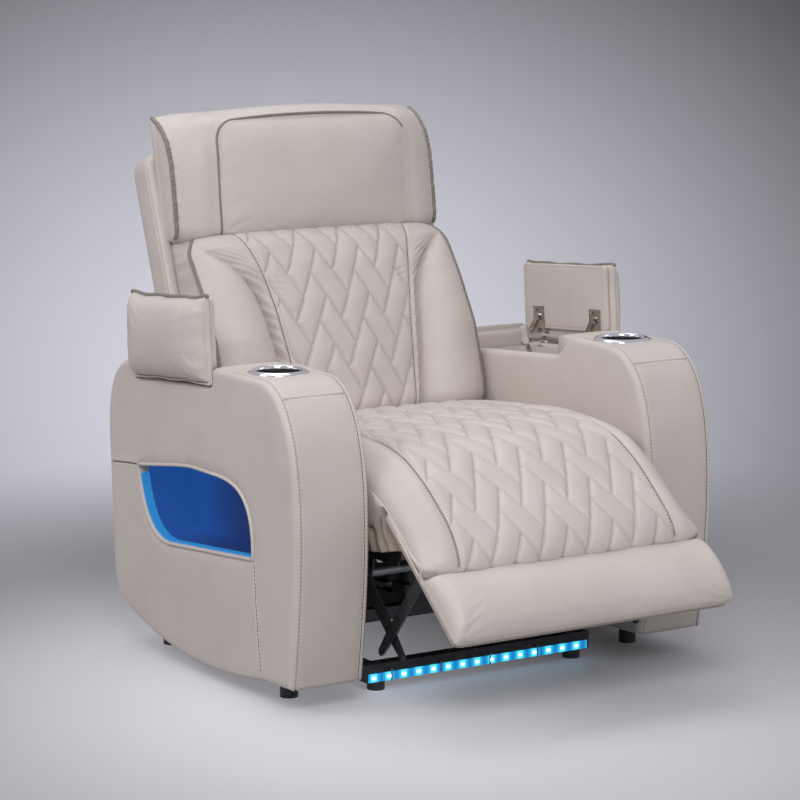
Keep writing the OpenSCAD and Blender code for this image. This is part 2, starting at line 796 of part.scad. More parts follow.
module back_posts() {
    post_top = frame_top - 12;
    deep = -frame_back + back_board_t / 2;
    color(steel_black) both_sides() back_frame() translate([link_x, 0, 0]) rotate([90, 0, 90])
        linear_extrude(link_t) {
            hull() {
                disc([0, 0], lug_r - 2);
                disc([70, deep], 12);
            }
            hull() {
                disc([70, deep], 12);
                disc([post_top, deep], 12);
            }
        }
}
module back_tube() {
    color(steel) {
        pin(back_pivot, tube_r, -link_x, link_x);
        crank(back_pivot, back_pin, -1);
    }
}
module back_boards() {
    z0 = -frame_back;
    z1 = back_board_t - frame_back;
    color(wood) back_frame() {
        for (s = [stile_start, stile_start + 190, frame_top - board_h])
            block([-link_x, s, z0], [link_x, s + board_h, z1]);
        both_sides() block([link_x + link_t, stile_start, z0], [back_half - 8, frame_top, z1]);
    }
}
module back_shell() {
    r = 40;
    wide_from = 330;
    rim_x = back_half + 1;
    rim_w = shell_w / 2 - rim_x;
    color(leather_dark) back_frame() translate([0, 0, -frame_back - shell_t]) {
        linear_extrude(shell_t) union() {
            hull() for (x = [-1, 1]) {
                translate([x * (shell_w / 2 - r), shell_top - r]) circle(r = r, $fn = 48);
                translate([x * (shell_w / 2 - 12), wide_from + 12]) circle(r = 12, $fn = 24);
            }
            translate([-back_half, -shell_drop]) square([2 * back_half, wide_from + shell_drop + 15]);
        }
        both_sides() translate([rim_x, wide_from + 14, shell_t - 1])
            linear_extrude(shell_rim + 1) square([rim_w, shell_top - wide_from - r - 14]);
    }
}
module back_cushion() {
    z0 = back_board_t - frame_back;
    slope = tan(back_lean);
    low = (cushion_z - back_pivot[1] - z0 * sin(back_lean)) / cos(back_lean);
    high = (head_pivot[1] - 12 - back_pivot[1] - z0 * sin(back_lean)) / cos(back_lean);
    color(leather) back_frame() translate([0, low, z0])
        pad(2 * back_half, high - low, back_edge, back_crown, pull = 4,
            cols = 20, rows = 18, seams_u = [0.54], sink = 12, start = slope, stop = slope,
            first = 6, ends = 6, droop = 45);
}

module headrest_brackets() {
    seat_s = frame_top + seat_gap;
    color(steel_black) both_sides() {
        back_frame() across(head_hinge_x, head_hinge_x + 3) {
            hull() {
                disc(head_eye_back, head_eye_r);
                translate([seat_s, back_board_t - frame_back + 2]) square(6);
            }
            translate([seat_s, -frame_back]) square([6, back_board_t + 4]);
        }
        pin(head_pivot, head_rivet_r, head_hinge_x, head_hinge_x + 8.5);
    }
}
module headrest_arms() {
    foot_z = head_base - head_board_t;
    color(steel_black) both_sides() head_frame() difference() {
        across(head_hinge_x + 5, head_hinge_x + 8) {
            hull() {
                disc([0, 0], head_eye_r);
                translate([12, foot_z]) square([12, head_board_t]);
            }
            translate([12, foot_z]) square([head_board_y - 12 - seat_gap, head_board_t]);
        }
        across(head_hinge_x + 4, head_hinge_x + 9) disc([0, 0], head_rivet_r + pin_play);
    }
}
module headrest_board() {
    color(wood) head_frame() block([head_inset - head_w / 2, head_board_y, head_base - head_board_t],
        [head_w / 2 - head_inset, head_h - head_inset, head_base]);
}
module headrest_pad() {
    slope = tan(head_lean);
    low = (9.5 - head_base * sin(head_lean)) / cos(head_lean);
    color(leather) head_frame() translate([0, low, head_base])
        pad(head_w, head_h - low, head_edge, head_crown, pull = 5,
            cols = 20, rows = 14, seams_u = [0.76], sink = 8, start = slope, stop = -0.08);
}

module switch_plate() {
    color(plastic_black) translate([-x_in, switch_y, switch_z]) difference() {
        block([0, -plate_l / 2, -plate_h / 2], [switch_plate_t, plate_l / 2, plate_h / 2]);
        for (s = [-1, 1]) translate([0, s * switch_pitch / 2, 0])
            block([-1, -rocker_w / 2 - 1, -rocker_h / 2 - 1],
                [switch_plate_t + 1, rocker_w / 2 + 1, rocker_h / 2 + 1]);
    }
}
module rocker(s) {
    h = rocker_h / 2;
    color("#3c3c40") translate([-x_in, switch_y + s * switch_pitch / 2 + rocker_w / 2, switch_z])
        rotate([90, 0, 0]) linear_extrude(rocker_w) polygon([[0.3, 0], [2.2, -h], [6.5, -h],
            [5.2, 0], [6.5, h], [2.2, h]]);
}

mirror([1, 0, 0]) outer_panel();  // arm_left_outer_panel
outer_panel();  // arm_right_outer_panel
mirror([1, 0, 0]) inner_panel();  // arm_left_inner_panel
inner_panel();  // arm_right_inner_panel
both_sides() arm_front_panel();  // arm_front_panels
both_sides() arm_deck();  // arm_decks
both_sides() arm_rear_block();  // arm_rear_blocks
both_sides() arm_bottom_board();  // arm_bottom_boards
both_sides() storage_bin();  // storage_bins
both_sides() side_pocket();  // side_pockets
both_sides() pocket_light();  // pocket_lights
mirror([1, 0, 0]) cup_holder();  // cup_holder_left
cup_holder();  // cup_holder_right
arm_hinge_leaves();
mirror([1, 0, 0]) lid_board();  // lid_left_board
lid_board();  // lid_right_board
mirror([1, 0, 0]) lid_cushion();  // lid_left_cushion
lid_cushion();  // lid_right_cushion
mirror([1, 0, 0]) lid_hinge_leaves();  // lid_left_hinge_leaves
lid_hinge_leaves();  // lid_right_hinge_leaves
base_cross_rails();
base_side_rails();
feet();
light_strip();
uprights();
mirror([1, 0, 0]) side_plate();  // side_plate_left
side_plate();  // side_plate_right
arm_brackets();
leg_hinge_rivets();
tube_bushes();
actuator_cross_tubes();
seat_cross_rails();
seat_side_rails();
seat_springs();
seat_cushion();
rear_panel();
power_box();
leg_rest_board();
leg_rest_pad();
leg_rest_brackets();
torque_tube();
drive_links();
follow_links();
leg_actuator();
leg_carriage();
back_posts();
back_tube();
back_boards();
back_shell();
back_cushion();
back_actuator();
back_carriage();
headrest_brackets();
headrest_arms();
headrest_board();
headrest_pad();
switch_plate();
rocker(-1);  // leg_switch
rocker(1);  // back_switch
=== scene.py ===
"""Looks of the power recliner: leather upholstery, trim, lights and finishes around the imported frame."""
import json
from math import acos, atan2, cos, exp, hypot, pi, radians, sin, sqrt

import bmesh
import bpy
import numpy as np
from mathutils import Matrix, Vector
from mathutils.geometry import delaunay_2d_cdt


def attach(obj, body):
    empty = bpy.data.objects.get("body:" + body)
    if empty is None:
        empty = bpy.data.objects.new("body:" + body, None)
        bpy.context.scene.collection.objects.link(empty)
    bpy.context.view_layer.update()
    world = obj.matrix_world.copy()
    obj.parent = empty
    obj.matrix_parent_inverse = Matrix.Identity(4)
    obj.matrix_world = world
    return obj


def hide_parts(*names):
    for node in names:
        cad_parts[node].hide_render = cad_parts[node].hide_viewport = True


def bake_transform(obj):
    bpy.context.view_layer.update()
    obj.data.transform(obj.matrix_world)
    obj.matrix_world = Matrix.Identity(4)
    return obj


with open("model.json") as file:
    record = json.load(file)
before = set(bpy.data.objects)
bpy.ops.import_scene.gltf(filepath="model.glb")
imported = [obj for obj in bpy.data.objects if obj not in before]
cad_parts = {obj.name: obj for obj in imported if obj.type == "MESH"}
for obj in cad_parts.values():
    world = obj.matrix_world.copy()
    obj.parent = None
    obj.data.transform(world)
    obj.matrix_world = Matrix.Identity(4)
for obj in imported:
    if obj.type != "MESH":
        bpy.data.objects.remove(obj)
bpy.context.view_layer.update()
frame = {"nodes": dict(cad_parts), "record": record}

TAU = 2 * pi
SIDES = (("left", -1), ("right", 1))

# ---------------------------------------------------------------- places from the frame, metres
X_OUT, X_IN, WALL = 0.480, 0.319, 0.022
CUP_X, CUP_Y = 0.3995, -0.118
ARM_TOP, SLOPE = 0.621, radians(4.5)
BIN_L, LID_SEAT, LID_AXIS_X, LID_AXIS_Z = 0.320, 0.583, 0.474, 0.015


class Lean:
    """A leaning part's side view: s along it and n off its face, from its pivot."""
    def __init__(self, y, z, lean, side=1):
        a = radians(lean)
        self.pivot, self.along = np.array([y, z]), np.array([sin(a), cos(a)])
        self.off = side * np.array([-cos(a), sin(a)])

    def at(self, x, s, n):
        y, z = (self.pivot[k] + self.along[k] * s + self.off[k] * n for k in (0, 1))
        return np.stack(np.broadcast_arrays(x, y, z), -1)

    def sn(self, q):
        """The s and n of points in space."""
        yz = q[:, 1:] - self.pivot
        return yz @ self.along, yz @ self.off


LEG, BACK, HEAD = Lean(-0.330, 0.385, -130, side=-1), Lean(0.250, 0.360, 20), Lean(0.430, 0.8125, 12)


# ---------------------------------------------------------------- curves in the plane
def bezier(a, b, c, d, n=24):
    t = np.linspace(0, 1, n + 1)[:, None]
    a, b, c, d = (np.array(p, float) for p in (a, b, c, d))
    s = 1 - t
    return s**3 * a + 3 * s * s * t * b + 3 * s * t * t * c + t**3 * d


def chain(*parts):
    """One polyline of several, without doubled points."""
    pts = np.vstack([np.atleast_2d(np.array(p, float)) for p in parts])
    keep = [0]
    for i in range(1, len(pts)):
        if np.linalg.norm(pts[i] - pts[keep[-1]]) > 1e-5:
            keep.append(i)
    return pts[keep]


def lengths(p):
    return np.concatenate([[0], np.cumsum(np.linalg.norm(np.diff(p, axis=0), axis=1))])


def sample(t, s, p):
    """The polyline p, whose points stand at s, read at t."""
    return np.stack([np.interp(t, s, p[:, k]) for k in range(p.shape[1])], -1)


def even(p, step, closed=False):
    """The polyline again, with points an even distance apart."""
    q = np.vstack([p, p[:1]]) if closed else p
    s = lengths(q)
    r = sample(np.linspace(0, s[-1], max(2, int(round(s[-1] / step))) + 1), s, q)
    return r[:-1] if closed else r


def smooth(p, n=12):
    """A curve through the points."""
    p = np.array(p, float)
    t = lengths(p)
    d = np.diff(t)
    m = np.zeros_like(p)
    m[1:-1] = (p[2:] - p[:-2]) / (t[2:] - t[:-2])[:, None]
    m[0], m[-1] = (p[1] - p[0]) / d[0], (p[-1] - p[-2]) / d[-1]
    u = np.linspace(0, 1, n, endpoint=False)[:, None]
    out = [(2 * u**3 - 3 * u**2 + 1) * p[i] + (u**3 - 2 * u**2 + u) * h * m[i]
           + (-2 * u**3 + 3 * u**2) * p[i + 1] + (u**3 - u**2) * h * m[i + 1] for i, h in enumerate(d)]
    return np.vstack(out + [p[-1:]])


def rounded(p, r, closed=True, n=6):
    """The polygon with its sharp corners cut by arcs of about r."""
    out, m = [], len(p)
    for i in range(m):
        a, b, c = p[i - 1], p[i], p[(i + 1) % m]
        u, v = a - b, c - b
        lu, lv = np.linalg.norm(u), np.linalg.norm(v)
        if (not closed and i in (0, m - 1)) or np.dot(u, v) / (lu * lv) < -0.93:
            out.append(b)
            continue
        k = min(r, 0.48 * lu, 0.48 * lv)
        s, e = b + u / lu * k, b + v / lv * k
        out += [(1 - t)**2 * s + 2 * t * (1 - t) * b + t * t * e for t in np.linspace(0, 1, n + 1)]
    return np.array(out)


def rect(x0, x1, y0, y1, r, step=0.008):
    return even(rounded(np.array([(x0, y0), (x1, y0), (x1, y1), (x0, y1)]), r), step, closed=True)


def tangents(p, closed=False):
    t = np.roll(p, -1, 0) - np.roll(p, 1, 0) if closed else np.gradient(p, axis=0)
    return t / np.maximum(np.linalg.norm(t, axis=1), 1e-9)[:, None]


def normals(p, closed=False):
    """Unit normals on the right-hand side of the path."""
    t = tangents(p, closed)
    return np.stack([t[:, 1], -t[:, 0]], 1)


def upward(p):
    """Unit normals of a path, on the side that faces up at its middle."""
    n = normals(p)
    return n if n[len(n) // 2, 1] >= 0 else -n


def outward(p):
    """Unit normals of a closed loop, pointing out of it."""
    q = np.roll(p, -1, 0)
    area = (p[:, 0] * q[:, 1] - q[:, 0] * p[:, 1]).sum()
    return normals(p, True) * (1 if area > 0 else -1)


def inside(pts, loop):
    x, y = pts[:, 0], pts[:, 1]
    hit = np.zeros(len(pts), bool)
    for (x0, y0), (x1, y1) in zip(loop, np.roll(loop, -1, 0)):
        if y0 != y1:
            hit ^= ((y0 > y) != (y1 > y)) & (x < (x1 - x0) * (y - y0) / (y1 - y0) + x0)
    return hit


def near(pts, path, closed=False):
    """Distance of each point to the polyline, and the length along it there."""
    q = np.vstack([path, path[:1]]) if closed else path
    s = lengths(q)
    best, along = np.full(len(pts), 9.0), np.zeros(len(pts))
    for i in range(len(q) - 1):
        a, d = q[i], q[i + 1] - q[i]
        l2 = max(float(d @ d), 1e-12)
        t = np.clip(((pts - a) @ d) / l2, 0, 1)
        e = np.linalg.norm(pts - a - t[:, None] * d, axis=1)
        m = e < best
        best[m], along[m] = e[m], (s[i] + t * sqrt(l2))[m]
    return best, along


def fill(loop, holes=(), step=0.012):
    """Triangles over a closed loop with holes; the loops' points come first."""
    loops = [loop] + list(holes)
    edges, base = [], 0
    for ring in loops:
        n = len(ring)
        edges += [(base + i, base + (i + 1) % n) for i in range(n)]
        base += n
    lo, hi = loop.min(0), loop.max(0)
    gx, gy = np.meshgrid(np.arange(lo[0], hi[0], step), np.arange(lo[1], hi[1], step * 0.87))
    gx[1::2] += step / 2
    g = np.stack([gx.ravel(), gy.ravel()], 1)
    g = g[inside(g, loop)]
    for h in holes:
        g = g[~inside(g, h)]
    for ring in loops:
        g = g[near(g, ring, True)[0] > step * 0.6]
    v, _, f, _, _, _ = delaunay_2d_cdt([Vector(p) for p in np.vstack(loops + [g])], edges, [], 0, 1e-7)
    v, f = np.array([tuple(p) for p in v]), np.array([t for t in f if len(t) == 3])
    mid = v[f].mean(1)
    ok = inside(mid, loop)
    for h in holes:
        ok &= ~inside(mid, h)
    return v, f[ok]


def step_up(t):
    t = np.clip(t, 0, 1)
    return t * t * (3 - 2 * t)


def at_x(x, yz):
    """Points in space: x beside each point of a side view."""
    return np.column_stack([np.full(len(yz), x), yz])


# ---------------------------------------------------------------- meshes
class Shape:
    """Vertices and faces gathered from several surfaces."""
    def __init__(self):
        self.v, self.f, self.n = [], [], 0

    def add(self, verts, faces):
        verts = np.asarray(verts, float).reshape(-1, 3)
        self.v.append(verts)
        self.f += [tuple(int(i) + self.n for i in f) for f in faces]
        self.n += len(verts)
        return self

    def merge(self, other):
        return self.add(np.vstack(other.v), other.f)

    def grid(self, p, close_j=False):
        """p[i, j] are points in rows."""
        ni, nj = p.shape[:2]
        i, j = np.meshgrid(np.arange(ni - 1), np.arange(nj if close_j else nj - 1), indexing="ij")
        j2 = (j + 1) % nj
        f = np.stack([i * nj + j, (i + 1) * nj + j, (i + 1) * nj + j2, i * nj + j2], -1).reshape(-1, 4)
        return self.add(p.reshape(-1, 3), f)

    def rings(self, rows):
        """A surface through closed rings of points."""
        return self.grid(np.stack(rows), close_j=True)

    def fan(self, *rings):
        """Closes each ring with triangles about its middle."""
        for ring in rings:
            n = len(ring)
            self.add(np.vstack([ring, ring.mean(0)]), [(i, (i + 1) % n, n) for i in range(n)])
        return self

    def on(self, sign):
        """The shape as it is, or mirrored to the chair's left."""
        if sign > 0:
            return self
        s = Shape()
        s.v, s.f, s.n = [v * [-1, 1, 1] for v in self.v], list(self.f), self.n
        return s

    def obj(self, name, mat, body, slot, replaces=(), weld=1e-5, flat=False):
        me = bpy.data.meshes.new(name)
        me.from_pydata([tuple(map(float, p)) for p in np.vstack(self.v)], [], self.f)
        bm = bmesh.new()
        bm.from_mesh(me)
        if weld:
            bmesh.ops.remove_doubles(bm, verts=bm.verts, dist=weld)
        bmesh.ops.recalc_face_normals(bm, faces=bm.faces)
        bm.to_mesh(me)
        bm.free()
        me.validate()
        if not flat:
            me.polygons.foreach_set("use_smooth", [True] * len(me.polygons))
        me.materials.append(mat)
        o = bpy.data.objects.new(name, me)
        bpy.context.scene.collection.objects.link(o)
        if body:
            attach(o, body)
        if replaces:
            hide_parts(*replaces)
        return o


def rim_of(*grids):
    """The boundary of each grid, in order."""
    ni, nj = grids[0].shape[:2]
    idx = [(0, j) for j in range(nj)] + [(i, nj - 1) for i in range(1, ni)] \
        + [(ni - 1, j) for j in range(nj - 2, -1, -1)] + [(i, 0) for i in range(ni - 2, 0, -1)]
    return [np.array([g[i] for i in idx]) for g in grids]


def tube(shape, path, r, sides=10):
    """A round tube along a path in space."""
    p = np.asarray(path, float)
    t = tangents(p)
    u = np.cross(t[0], (0.0, 0, 1) if abs(t[0][2]) < 0.9 else (1.0, 0, 0))
    u /= np.linalg.norm(u)
    a = np.linspace(0, TAU, sides, endpoint=False)[:, None]
    rows = []
    for q, d in zip(p, t):
        u = u - d * np.dot(u, d)
        u /= max(np.linalg.norm(u), 1e-9)
        rows.append(q + r * (np.cos(a) * u + np.sin(a) * np.cross(d, u)))
    return shape.rings(rows).fan(rows[0], rows[-1])


def fill_out(o, held, voxel=0.005, shrink=0.003, cap=0.008, finer=True):
    """Swells a cushion's cover by its filling in a cloth simulation; held(points) marks where it is sewn down."""
    frames, pressure, stiff_steps, mass = 20, 4.0, 6, 0.3

    def evaluated():
        return o.evaluated_get(bpy.context.evaluated_depsgraph_get())

    def read(values, key, n):
        co = np.zeros(n * 3, np.float32)
        values.foreach_get(key, co)
        return co.reshape(-1, 3).astype(float)

    m = o.modifiers.new("even", "REMESH")
    m.mode, m.voxel_size = "VOXEL", voxel
    o.data = bpy.data.meshes.new_from_object(evaluated())
    o.modifiers.clear()
    n = len(o.data.vertices)
    start = read(o.data.vertices, "co", n)
    keep = held(start)
    small = start - read(o.data.vertex_normals, "vector", n) * shrink * ~keep[:, None]
    o.data.vertices.foreach_set("co", small.astype(np.float32).ravel())
    o.vertex_groups.new(name="held").add([int(i) for i in np.flatnonzero(keep)], 1.0, "REPLACE")
    cloth = o.modifiers.new("cover", "CLOTH")
    cloth.collision_settings.use_collision = False
    s = cloth.settings
    s.quality, s.mass, s.vertex_group_mass = stiff_steps, mass, "held"
    s.use_pressure, s.uniform_pressure_force = True, pressure
    s.effector_weights.gravity = 0
    cloth.point_cache.frame_start, cloth.point_cache.frame_end = 1, frames
    for frame_no in range(1, frames + 1):
        bpy.context.scene.frame_set(frame_no)
    moved = read(evaluated().data.vertices, "co", n) - start
    o.modifiers.clear()
    o.vertex_groups.clear()
    bpy.context.scene.frame_set(1)
    far = np.linalg.norm(moved, axis=1)
    moved *= (np.minimum(far, cap) / np.maximum(far, 1e-9))[:, None]
    o.data.vertices.foreach_set("co", (start + moved).astype(np.float32).ravel())
    if finer:
        o.modifiers.new("finer", "SUBSURF").levels = 1
        o.data = bpy.data.meshes.new_from_object(evaluated())
        o.modifiers.clear()
    o.data.polygons.foreach_set("use_smooth", [True] * len(o.data.polygons))


# ---------------------------------------------------------------- materials
def plug(nt, n, ins):
    """Links what is a socket to the node's sockets, and sets them to what is a value."""
    for k, v in ins.items():
        if isinstance(v, bpy.types.NodeSocket):
            nt.links.new(v, n.inputs[k])
        else:
            n.inputs[k].default_value = v


def node(nt, kind, ins=None, out=0, **attrs):
    n = nt.nodes.new("ShaderNode" + kind)
    for k, v in attrs.items():
        setattr(n, k, v)
    plug(nt, n, ins or {})
    return n.outputs[out]


def new_mat(name):
    """A material, with its nodes, its shader and the piece's own coordinates."""
    m = bpy.data.materials.new(name)
    m.use_nodes = True
    return m, m.node_tree, m.node_tree.nodes["Principled BSDF"], node(m.node_tree, "TexCoord", out="Object")


def ramp(nt, value, stops):
    """Colours along a value."""
    r = nt.nodes.new("ShaderNodeValToRGB")
    for k, (at, colour) in enumerate(stops):
        e = r.color_ramp.elements[k] if k < 2 else r.color_ramp.elements.new(at)
        e.position, e.color = at, (*colour, 1)
    nt.links.new(value, r.inputs["Fac"])
    return r.outputs["Color"]


def mapped(nt, value, to, start=(0, 1), smoothly=False):
    ins = {"Value": value, "From Min": start[0], "From Max": start[1], "To Min": to[0], "To Max": to[1]}
    return node(nt, "MapRange", ins, "Result", interpolation_type="SMOOTHSTEP" if smoothly else "LINEAR")


def noise_mix(nt, c, scale, a, b, detail=4.0, lo=0.35, hi=0.65):
    """A colour that wanders between a and b, and the noise behind it."""
    fac = node(nt, "TexNoise", {"Scale": scale, "Detail": detail, "Vector": c}, "Fac")
    return ramp(nt, fac, [(lo, a), (hi, b)]), fac


def bump(nt, height, strength, distance, **below):
    return node(nt, "Bump", {"Strength": strength, "Distance": distance, "Height": height, **below}, "Normal")


def leather(name, base, dark, rough=0.42, grain=1.0):
    m, nt, bsdf, c = new_mat(name)
    warp = node(nt, "TexNoise", {"Scale": 160.0, "Vector": c}, "Color")
    bent = node(nt, "MixRGB", {"Fac": 0.004, "Color1": c, "Color2": warp}, "Color", blend_type="ADD")
    pores = node(nt, "TexVoronoi", {"Scale": 620.0, "Vector": bent}, "Distance", feature="DISTANCE_TO_EDGE")
    creases = node(nt, "TexNoise", {"Scale": 38.0, "Detail": 5.0, "Distortion": 0.7, "Vector": c}, "Fac")
    plug(nt, bsdf, {
        "Base Color": noise_mix(nt, c, 9.0, dark, base, 5.0, 0.25, 0.62)[0],
        "Normal": bump(nt, pores, 0.22 * grain, 0.0006, Normal=bump(nt, creases, 0.10 * grain, 0.004)),
        "Roughness": mapped(nt, creases, (rough - 0.05, rough + 0.08)),
        "Specular IOR Level": 0.42, "Sheen Weight": 0.08, "Sheen Roughness": 0.4})
    return m


def metal(name, base, dark, rough, metallic=1.0, scale=60.0, uneven=0.05):
    m, nt, bsdf, c = new_mat(name)
    colour, noise = noise_mix(nt, c, scale, dark, base, 6.0, 0.3, 0.7)
    fine = node(nt, "TexNoise", {"Scale": 900.0, "Vector": c}, "Fac")
    plug(nt, bsdf, {"Base Color": colour, "Metallic": metallic, "Normal": bump(nt, fine, uneven, 0.0005),
                    "Roughness": mapped(nt, noise, (max(0.03, rough - 0.08), rough + 0.1))})
    return m


def glow(name, colour, strength, base):
    m, nt, bsdf, c = new_mat(name)
    seen = noise_mix(nt, c, 220.0, tuple(0.85 * x for x in colour), colour, 2.0)[0]
    plug(nt, bsdf, {"Emission Color": seen, "Emission Strength": strength, "Base Color": (*base, 1), "Roughness": 0.3})
    return m


def strip_glow(name, first, pitch):
    """A glowing strip, brightest around its spots."""
    m, nt, bsdf, c = new_mat(name)
    value = node(nt, "SeparateXYZ", {0: c}, "X")
    for op, by in (("SUBTRACT", first - pitch / 2), ("DIVIDE", pitch), ("FRACT", 0.0), ("SUBTRACT", 0.5),
                   ("ABSOLUTE", 0.0)):
        value = node(nt, "Math", {0: value, 1: by}, operation=op)
    stops = [(0.14, (0.10, 0.80, 1.0)), (0.30, (0.006, 0.36, 0.72)), (0.50, (0.001, 0.16, 0.46))]
    plug(nt, bsdf, {"Emission Color": ramp(nt, value, stops), "Emission Strength": 1.0,
                    "Base Color": (0.02, 0.12, 0.3, 1), "Roughness": 0.3})
    return m


def cloth_with_painted_glow(name, stops, y0, y1, strength):
    """Cloth with painted light: it glows by itself along Y, as if lit by the strip around its mouth."""
    m, nt, bsdf, c = new_mat(name)
    run = mapped(nt, node(nt, "SeparateXYZ", {0: c}, "Y"), (0, 1), (y0, y1))
    colour, noise = noise_mix(nt, c, 420.0, (0.015, 0.030, 0.10), (0.024, 0.050, 0.15))
    plug(nt, bsdf, {"Emission Color": ramp(nt, run, stops), "Emission Strength": strength, "Base Color": colour,
                    "Normal": bump(nt, noise, 0.3, 0.0006), "Roughness": 0.55})
    return m


LEATHER = leather("leather_greige", (0.660, 0.598, 0.560), (0.615, 0.553, 0.513))
PIPING = leather("leather_taupe", (0.270, 0.235, 0.205), (0.215, 0.185, 0.160), rough=0.38)
WRAP = leather("leather_wrap", (0.56, 0.495, 0.445), (0.50, 0.435, 0.385), rough=0.5)
FABRIC = leather("fabric_beige", (0.40, 0.335, 0.28), (0.33, 0.27, 0.22), rough=0.8, grain=1.6)
THREAD = leather("thread_pale", (0.90, 0.85, 0.80), (0.82, 0.77, 0.72), rough=0.6, grain=0.3)
# painted shade: dark tubes laid in the seams' grooves stand in for the shade there; the thread itself is pale
SEAM_SHADE = leather("seam_painted_shade", (0.17, 0.145, 0.125), (0.12, 0.10, 0.09), rough=0.7, grain=0.3)
BLACK = metal("steel_black", (0.040, 0.040, 0.048), (0.024, 0.024, 0.030), 0.26, metallic=0.35, uneven=0.12)
ZINC = metal("zinc_plate", (0.30, 0.30, 0.31), (0.20, 0.20, 0.21), 0.34)
HINGE = metal("hinge_steel", (0.60, 0.56, 0.50), (0.34, 0.31, 0.27), 0.22)
CHROME = metal("chrome_trim", (0.80, 0.81, 0.83), (0.72, 0.73, 0.75), 0.08, scale=20.0, uneven=0.01)
WELL = metal("well_dark", (0.012, 0.012, 0.013), (0.008, 0.008, 0.009), 0.55, metallic=0.0, uneven=0.1)
PLASTIC = metal("plastic_black", (0.020, 0.020, 0.022), (0.014, 0.014, 0.015), 0.45, metallic=0.0, uneven=0.25)
SWITCH = metal("plastic_grey", (0.075, 0.075, 0.080), (0.055, 0.055, 0.060), 0.4, metallic=0.0, uneven=0.2)
WOOD = metal("ply_wood", (0.50, 0.36, 0.22), (0.36, 0.24, 0.14), 0.6, metallic=0.0, scale=14.0, uneven=0.4)
# painted light: the pocket's cloth glows blue, brightest toward its front and rear ends and dim in the middle, in place
# of the light of its lip strip
POCKET_PAINTED_GLOW = cloth_with_painted_glow("pocket_cloth_painted_glow", [(0.0, (0.008, 0.034, 0.16)), (0.35, (0.004, 0.014, 0.07)),
                                    (0.62, (0.005, 0.018, 0.09)), (0.95, (0.010, 0.060, 0.25))], -0.16, 0.31, 0.9)
SPOT_X, SPOT_PITCH = -0.245, 0.0339
BLUE = glow("led_blue", (0.020, 0.185, 0.44), 0.88, (0.02, 0.12, 0.3))
STRIP = strip_glow("led_strip", SPOT_X, SPOT_PITCH)
SPOT = glow("led_spot", (0.55, 0.93, 1.0), 2.2, (0.6, 0.9, 1.0))

SLOT_LOOK = {"leather": LEATHER, "padding": LEATHER, "piping": PIPING, "thread": THREAD, "soft_fabric": FABRIC,
             "wood": WOOD, "black_steel": BLACK, "zinc": ZINC, "hinge_metal": HINGE, "chrome": CHROME,
             "black_plastic": PLASTIC, "switch_plastic": SWITCH, "pocket_liner": POCKET_PAINTED_GLOW,
             "blue_light": BLUE, "white_light": SPOT}
for row in frame["record"]["subparts"]:
    materials = frame["nodes"][row["node"]].data.materials
    materials.clear()
    materials.append(STRIP if row["node"] == "light_strip" else SLOT_LOOK[row["material_slot"]])

# ---------------------------------------------------------------- piping and stitches
SEWN, SEAMS = {}, {}


def stitch(body, path, length=0.0048, gap=0.0026, r=0.0010):
    """A row of small raised stitches along a path in space."""
    p, sides = np.asarray(path, float), 5
    s = lengths(p)
    start = np.arange(int((s[-1] - length) / (length + gap)) + 1) * (length + gap)
    ends = [sample(start + length * f, s, p) for f in (0, 0.5, 1)]
    axis = ends[2] - ends[0]
    axis /= np.maximum(np.linalg.norm(axis, axis=1), 1e-9)[:, None]
    u = np.cross(axis, np.where(np.abs(axis[:, 2:3]) < 0.9, [[0, 0, 1.0]], [[1.0, 0, 0]]))
    u /= np.linalg.norm(u, axis=1)[:, None]
    a = np.linspace(0, TAU, sides, endpoint=False)[None, :, None]
    around = r * (np.cos(a) * u[:, None] + np.sin(a) * np.cross(axis, u)[:, None])
    v = np.stack([e[:, None] + around * k for e, k in zip(ends, (0.35, 1, 0.35))], 1)
    base = np.arange(len(start))[:, None] * 3 * sides
    faces = [base + [k * sides + i, k * sides + j, (k + 1) * sides + j, (k + 1) * sides + i]
             for k in range(2) for i, j in zip(range(sides), (1, 2, 3, 4, 0))]
    SEWN.setdefault(body, Shape()).add(v, np.vstack(faces))


def seam(body, path, r=0.0010):
    """A dark tube deep in a seam's groove, between its stitches: painted shade of the groove."""
    tube(SEAMS.setdefault(body, Shape()), path, r, sides=6)


def piping(name, paths, body, r=0.0035, mat=PIPING):
    s = Shape()
    for p in paths:
        tube(s, p, r, sides=12)
    s.obj(name, mat, body, "piping")


# ---------------------------------------------------------------- arms
EDGE_R, CREASE, SKIN_STEP = 0.012, 0.0022, 0.006
REAR_FOOT = (0.430, 0.150)
# steps of an opening's rim and of a seam's groove: distance outside its line, depth
POCKET_LIP = [(0.0105, 0), (0.0085, 0.0010), (0.0075, 0.0022), (0.0066, -0.0006), (0.0052, -0.0026),
              (0.0026, -0.0030), (0.0007, -0.0012), (0, 0.0016), (0, WALL)]
SEAM_LIP = [(0.0050, 0), (0.0026, -0.0004), (0.0010, 0.0002), (0, 0.0018)]
front_curve = bezier((-0.292, 0.053), (-0.330, 0.298), (-0.348, 0.600), (-0.190, ARM_TOP), 40)
rear_curve = bezier((0.330, 0.595), (0.415, 0.589), (0.448, 0.530), (0.445, 0.430), 24)
bottom_curve = bezier((0.417, 0.098), (0.230, 0.020), (0.030, 0.010), (-0.185, 0.048), 30)


def lid_yz(y, z):
    """A point of the closed lid's side view, in the chair's Y and Z."""
    return np.array([y * cos(SLOPE) + z * sin(SLOPE), LID_SEAT - y * sin(SLOPE) + z * cos(SLOPE)])


